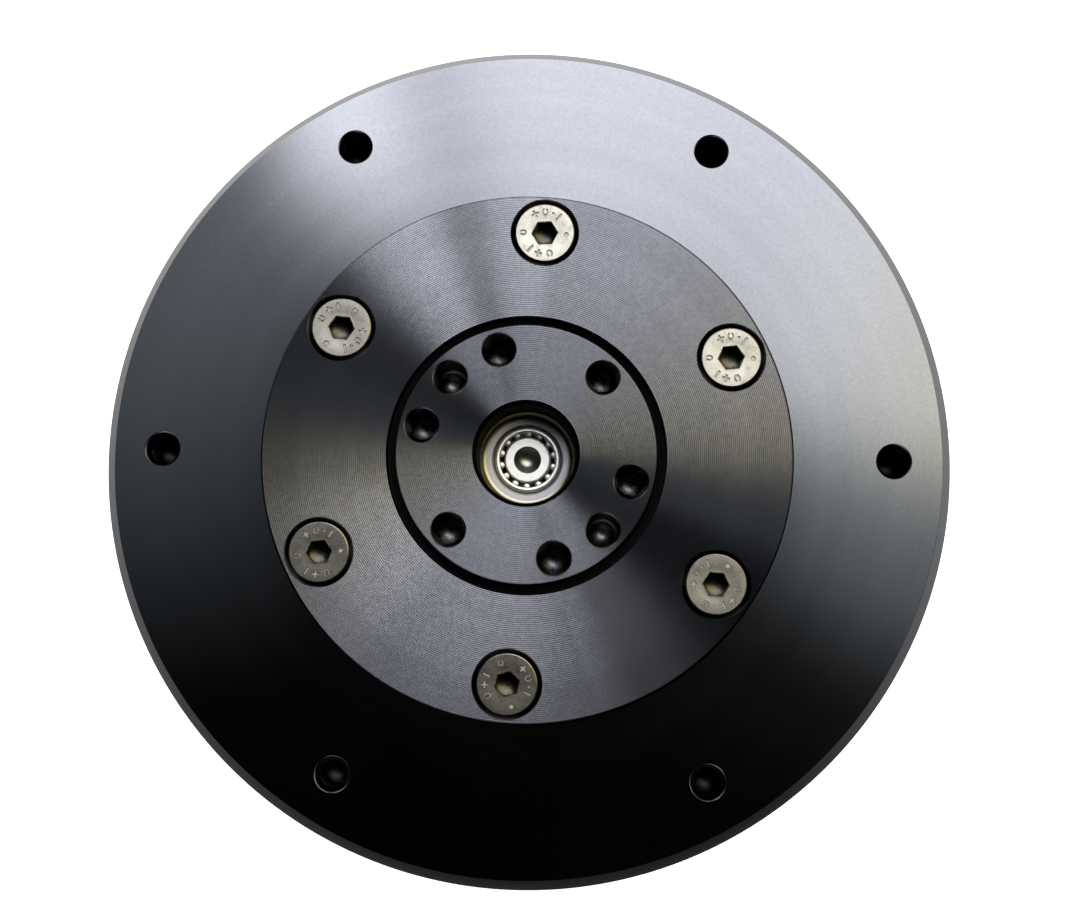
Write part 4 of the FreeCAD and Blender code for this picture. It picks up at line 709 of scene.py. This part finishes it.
TURN = [3.0, 0.0, -9.0, 6.0, 14.0, -7.0]
MARKS = [90.0, 87.7, -40.0, 97.3, 15.0, 150.0]
for k in range(6):
    cx, cy = polar(21.09, A_CAP + 60 * k)
    R, top, edge = 2.8, 38.78, 38.35
    p = [(0, 32.80), (1.2, 32.80), (1.45, 33.05)]
    z = 33.1
    while z < 36.3:
        p += [(1.45, z), (1.24, z + 0.2), (1.24, z + 0.28), (1.45, z + 0.48)]
        z += 0.5
    p += [(1.45, 37.0), (R - 0.02, edge - 0.02), (R, edge + 0.03), (R, top - 0.10), (R - 0.03, top - 0.04), (R - 0.11, top), (1.75, top), (1.45, top - 0.015), (0, top - 0.015)]
    bm = bmesh.new()
    lathe_bm(bm, p, 96, (cx, cy))
    sc = finish_mesh("cap_screw_%d" % (k + 1), bm, 20.0)
    cut = bmesh.new()
    af, rot = 2.1, math.radians(3.3 + TURN[k])
    hexa = [(cx + af / 2 / math.cos(math.pi / 6) * math.cos(rot + i * math.pi / 3),
             cy + af / 2 / math.cos(math.pi / 6) * math.sin(rot + i * math.pi / 3)) for i in range(6)]
    # socket with a drilled, conical bottom and a broken mouth
    prism_bm(cut, hexa, top - 1.25, top + 0.4)
    boolean(sc, cut, sharp=20.0)
    cut = bmesh.new()
    lo, hi = [[cut.verts.new(((cx + (x - cx) * f) * MM, (cy + (y - cy) * f) * MM, h * MM)) for x, y in hexa]
              for f, h in ((0.96, top - 0.15), (1.22, top + 0.17))]
    cut.faces.new(list(reversed(lo)))
    cut.faces.new(hi)
    for i in range(6):
        cut.faces.new([lo[i], lo[(i + 1) % 6], hi[(i + 1) % 6], hi[i]])
    boolean(sc, cut, sharp=20.0)
    cut = bmesh.new()
    lathe_bm(cut, [(0, top - 1.75), (1.02, top - 1.25), (1.02, top - 1.2), (0, top - 1.2)], 32, (cx, cy))
    boolean(sc, cut, sharp=20.0)
    for deep, inset in ((0.04, 0.0), (0.12, 0.042)):
        cut = bmesh.new()
        for a, kind, size in [(-38, "bar", 0.80), (-20, "dot", 0.30), (2, "ring", 0.78), (30, "plus", 0.74), (92, "ring", 0.72),
                              (141, "bar", 0.80), (166, "plus", 0.74), (196, "ring", 0.78), (268, "dot", 0.50)]:
            stamp(cut, cx, cy, 2.03, a + MARKS[k], kind, size, top, deep, inset)
        boolean(sc, cut, sharp=20.0)
    weighted(sc)
    use(sc, M_SCREW)
    sc.data.materials.append(M_MOUTH)
    for f in sc.data.polygons:
        c = f.center / MM
        if math.hypot(c.x - cx, c.y - cy) < 1.40 and 38.60 < c.z < 38.764 and 0.2 < f.normal.z < 0.97:
            f.material_index = 1
    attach(sc, "housing")
    if k == 0:
        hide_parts("cap_screws")

# ----------------------------------------------------------- needle bearing
p = [(2.64, 34.30), (2.70, 34.375), (2.80, 34.40), (2.93, 34.395), (3.04, 34.36), (3.14, 34.29), (3.21, 34.20), (3.24, 34.08), (3.24, 31.3), (2.64, 31.3), (2.64, 31.5),
     (2.92, 31.5), (2.92, 34.18), (2.66, 34.18)]
bm = bmesh.new()
lathe_bm(bm, p, 144)
cup = finish_mesh("needle_cup", bm, 40.0)
use(cup, M_STEEL)
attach(cup, "output"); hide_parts("needle_bearing_cup")

bm = bmesh.new()
for k in range(14):
    x, y = polar(2.56, 12.0 + 360.0 / 14 * k)
    lathe_bm(bm, [(0, 31.55), (0.2, 31.57), (0.32, 31.66), (0.35, 31.8), (0.35, 33.98), (0.335, 34.05), (0.29, 34.09), (0.0, 34.10)], 24, (x, y))
nd = finish_mesh("needles_set", bm, 40.0)
use(nd, M_NEEDLE)
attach(nd, "needles"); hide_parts("needle_rollers")

# ------------------------------------------------------------------- stage
WINDOW_LIGHT, WALL_LIGHT = 5.3, 0.8
bm = bmesh.new()
R0 = 2.5
vs = [bm.verts.new((R0 * math.cos(2 * math.pi * k / 96), R0 * math.sin(2 * math.pi * k / 96), 0)) for k in range(96)]
bm.faces.new(vs)
me = bpy.data.meshes.new("floor")
bm.to_mesh(me); bm.free()
floor = bpy.data.objects.new("floor", me)
COL.objects.link(floor)
mf = Mat("floor_white")
mf.set("Base Color", mf.ramp(mf.noise(mf.coords(), 3.0), [(0.3, (0.80, 0.80, 0.80)), (0.7, (0.83, 0.83, 0.83))]))
mf.set("Roughness", 0.9)
mf.set("Emission Color", (1.0, 1.0, 1.0))
mf.set("Emission Strength", 0.82)
# what the metal sees of the floor: lit on the window side, dark on the other
fx, fy, fz = mf.xyz(mf.coords())
fr = mf.math("MAXIMUM", mf.math("SQRT", mf.math("ADD", mf.math("MULTIPLY", fx, fx), mf.math("MULTIPLY", fy, fy))), 0.02)
fc = mf.math("DIVIDE", mf.math("ADD", mf.math("MULTIPLY", fx, -0.087), mf.math("MULTIPLY", fy, 0.996)), fr)
fright = mf.math("POWER", mf.math("MAXIMUM", mf.math("DIVIDE", fx, fr), 0.0), 3.0)
fl = mf.math("ADD", mf.math("ADD", mf.math("MULTIPLY", fc, 0.672), 0.567), mf.math("MULTIPLY", fright, 0.25))
near = mf.math("SUBTRACT", 1.0, mf.span(fr, 0.075, 0.135))
fl = mf.math("MAXIMUM", fl, mf.math("ADD", mf.math("MULTIPLY", near, 0.42), 0.02))
fe = mf.node("ShaderNodeEmission")
mf.link(fl, fe.inputs["Strength"])
fp = mf.node("ShaderNodeLightPath")
fm = mf.node("ShaderNodeMixShader")
mf.link(mf.math("MAXIMUM", fp.outputs["Is Camera Ray"], fp.outputs["Is Diffuse Ray"]), fm.inputs[0])
mf.link(fe.outputs[0], fm.inputs[1])
mf.link(mf.bsdf.outputs[0], fm.inputs[2])
mf.link(fm.outputs[0], mf.out.inputs["Surface"])
floor.data.materials.append(mf.m)

# studio surroundings: one large soft window high on the +Y, +X side, dark above, pale near the horizon.
# Directions are read as slopes (x/z, y/z), so each edge of the window is a straight line in the ceiling.
w = bpy.data.worlds.new("studio")
bpy.context.scene.world = w
w.use_nodes = True
nt = w.node_tree
nt.nodes.clear()


def wm(op, a, b=None, clamp=False):
    n = nt.nodes.new("ShaderNodeMath")
    n.operation = op
    n.use_clamp = clamp
    for i, v in enumerate((a, b)):
        if v is None:
            continue
        if isinstance(v, (int, float)):
            n.inputs[i].default_value = v
        else:
            nt.links.new(v, n.inputs[i])
    return n.outputs[0]


def edge(nx, ny, at, soft):
    """0 to 1 across the line nx * dx + ny * dy = at"""
    v = wm("ADD", wm("MULTIPLY", DX, nx), wm("MULTIPLY", DY, ny))
    n = nt.nodes.new("ShaderNodeMapRange")
    n.interpolation_type = "SMOOTHSTEP"
    n.inputs["From Min"].default_value = at - soft
    n.inputs["From Max"].default_value = at + soft
    nt.links.new(v, n.inputs["Value"])
    return n.outputs[0]


def span(v, lo, hi):
    n = nt.nodes.new("ShaderNodeMapRange")
    n.interpolation_type = "SMOOTHSTEP"
    n.inputs["From Min"].default_value = lo
    n.inputs["From Max"].default_value = hi
    nt.links.new(v, n.inputs["Value"])
    return n.outputs[0]


def tint(fac, a, b):
    n = nt.nodes.new("ShaderNodeMix")
    n.data_type = "RGBA"
    for sock, v in ((n.inputs[0], fac), (n.inputs[6], a), (n.inputs[7], b)):
        if isinstance(v, (int, float)):
            sock.default_value = v
        elif isinstance(v, tuple):
            sock.default_value = (*v, 1)
        else:
            nt.links.new(v, sock)
    return n.outputs[2]


tcw = nt.nodes.new("ShaderNodeTexCoord")
sxw = nt.nodes.new("ShaderNodeSeparateXYZ")
nt.links.new(tcw.outputs["Generated"], sxw.inputs[0])
VX, VY, VZ = sxw.outputs[0], sxw.outputs[1], sxw.outputs[2]
ZC = wm("MAXIMUM", VZ, 0.03)
DX, DY = wm("DIVIDE", VX, ZC), wm("DIVIDE", VY, ZC)
up = span(VZ, 0.30, 0.42)                       # 1 well above the horizon
# slopes are also read as rays and distances from the axis's own mirror slope
CXW, CYW = -0.0315, 0.125
FAR = wm("SQRT", wm("ADD", wm("POWER", wm("SUBTRACT", DX, CXW), 2.0), wm("POWER", wm("SUBTRACT", DY, CYW), 2.0)))
beyond = span(FAR, 0.33, 0.38)


def left_of(deg, soft):
    """1 on the counter-clockwise side of the ray at deg"""
    a_ = math.radians(deg)
    return edge(-math.sin(a_), math.cos(a_), -math.sin(a_) * CXW + math.cos(a_) * CYW, soft)


near_edge = wm("MULTIPLY", edge(0.25, 0.968, 0.178, 0.05), wm("SUBTRACT", 1.0, left_of(106.0, 0.02)))
window = wm("MULTIPLY", wm("MAXIMUM", edge(0.418, 0.908, 0.195, 0.06), near_edge), edge(0.788, 0.616, 0.034, 0.045))
window = wm("MULTIPLY", window, edge(1.0, -0.15, -0.27, 0.03))
window = wm("MULTIPLY", window, edge(0.0, 1.0, 0.105, 0.05))
window = wm("MULTIPLY", window, up)
gain = wm("MINIMUM", wm("ADD", wm("MULTIPLY", DY, 1.30), 0.55), 1.8)
window = wm("MULTIPLY", window, gain)
window = wm("MULTIPLY", window, wm("ADD", wm("MULTIPLY", edge(1.0, 0.0, 0.55, 0.25), 0.5), 1.0))
window = wm("MULTIPLY", window, wm("ADD", wm("MULTIPLY", left_of(111.0, 0.02), 0.13), 1.0))
window = wm("MULTIPLY", window, wm("ADD", wm("MULTIPLY", left_of(56.0, 0.08), 0.15), 0.85))
lamp = wm("MULTIPLY", wm("MULTIPLY", left_of(84.0, 0.05), edge(0.788, 0.616, 0.034, 0.045)), wm("MULTIPLY", beyond, up))
lamp = wm("MULTIPLY", lamp, wm("ADD", wm("MULTIPLY", left_of(110.0, 0.04), 1.25), 0.35))
window = wm("ADD", window, lamp)
# the window ends some way down towards the horizon, so that a low view isn't dazzled by it
window = wm("MULTIPLY", window, wm("SUBTRACT", 1.0, wm("MULTIPLY", span(FAR, 0.62, 1.15), 0.88)))
# a frame bar dims a strip of the window
bar = wm("ABSOLUTE", wm("ADD", wm("MULTIPLY", DX, 0.966), wm("MULTIPLY", DY, 0.259)))
bar = span(bar, 0.0, 0.055)
window = wm("MULTIPLY", window, wm("ADD", wm("MULTIPLY", bar, 0.36), 0.64))
# a dim wall beside it to the left, and a dim patch to the right
wall = wm("MULTIPLY", edge(-0.30, 0.90, 0.215, 0.185), edge(-1.0, 0.0, 0.15, 0.05))
wall = wm("MULTIPLY", wall, edge(1.0, 0.0, -0.38, 0.05))
wall = wm("MULTIPLY", wall, span(FAR, 0.14, 0.19))
wall = wm("MULTIPLY", wall, wm("SUBTRACT", 1.0, span(FAR, 0.30, 0.35)))
patch = wm("MULTIPLY", edge(0.418, 0.908, 0.105, 0.045), edge(-1.0, 0.0, -0.36, 0.06))
patch = wm("MULTIPLY", patch, edge(1.0, 0.0, 0.14, 0.05))
wall = wm("MULTIPLY", wm("MAXIMUM", wall, wm("MULTIPLY", patch, 0.95)), up)
warm = edge(1.0, -0.35, 0.21, 0.20)
colr = tint(warm, (0.95, 0.965, 1.03), (1.14, 1.0, 0.50))
bgw = nt.nodes.new("ShaderNodeBackground")
nt.links.new(colr, bgw.inputs[0])
nt.links.new(wm("MULTIPLY", window, WINDOW_LIGHT), bgw.inputs[1])
bgl = nt.nodes.new("ShaderNodeBackground")
bgl.inputs[0].default_value = (0.88, 1.0, 1.08, 1)
nt.links.new(wm("MULTIPLY", wall, WALL_LIGHT), bgl.inputs[1])
# low fill panels round the sides of the room, which the walls and sockets of the object see
low = wm("SUBTRACT", 1.0, span(VZ, 0.30, 0.50))
lowb = span(VZ, 0.10, 0.24)
band = wm("MULTIPLY", low, lowb)
AZ = wm("ARCTAN2", VY, VX)
strips = wm("POWER", wm("ADD", wm("MULTIPLY", wm("SINE", wm("ADD", wm("MULTIPLY", AZ, 3.0), 1.2)), 0.5), 0.5), 2.0)
fill = wm("ADD", wm("MULTIPLY", wm("MULTIPLY", band, strips), 1.6), 0.035)
bgh = nt.nodes.new("ShaderNodeBackground")
bgh.inputs[0].default_value = (0.97, 0.98, 1.0, 1)
nt.links.new(wm("MULTIPLY", fill, wm("SUBTRACT", 1.0, span(VZ, 0.45, 0.6))), bgh.inputs[1])
add1, add2 = nt.nodes.new("ShaderNodeAddShader"), nt.nodes.new("ShaderNodeAddShader")
nt.links.new(bgw.outputs[0], add1.inputs[0])
nt.links.new(bgl.outputs[0], add1.inputs[1])
nt.links.new(add1.outputs[0], add2.inputs[0])
nt.links.new(bgh.outputs[0], add2.inputs[1])
backdrop = nt.nodes.new("ShaderNodeBackground")
backdrop.inputs[0].default_value = (1.0, 1.0, 1.0, 1)
lp = nt.nodes.new("ShaderNodeLightPath")
pick = nt.nodes.new("ShaderNodeMixShader")
nt.links.new(lp.outputs["Is Camera Ray"], pick.inputs[0])
nt.links.new(add2.outputs[0], pick.inputs[1])
nt.links.new(backdrop.outputs[0], pick.inputs[2])
room = nt.nodes.new("ShaderNodeBackground")
room.inputs[0].default_value = (0.97, 0.98, 1.0, 1)
room.inputs[1].default_value = 0.8
pick2 = nt.nodes.new("ShaderNodeMixShader")
nt.links.new(lp.outputs["Is Diffuse Ray"], pick2.inputs[0])
nt.links.new(pick.outputs[0], pick2.inputs[1])
nt.links.new(room.outputs[0], pick2.inputs[2])
outw = nt.nodes.new("ShaderNodeOutputWorld")
nt.links.new(pick2.outputs[0], outw.inputs[0])

# ------------------------------------------------------------------ camera
cam = bpy.data.cameras.new("cam")
cam.sensor_width = 36.0
cam.lens = 48.6936
cam.clip_start = 0.01
cam.clip_end = 20.0
co_ = bpy.data.objects.new("cam", cam)
rot = Matrix(((0.99960835, -0.01729969, 0.02199696), (0.01996855, 0.99163037, -0.12755578), (-0.01960618, 0.12794507, 0.99158744)))
co_.matrix_world = Matrix.Translation(Vector((4.23893901, -16.81668023, 172.64177962)) * MM) @ rot.to_4x4()
COL.objects.link(co_)
bpy.context.scene.camera = co_
bpy.context.scene.view_settings.view_transform = "Standard"
bpy.context.scene.view_settings.look = "None"
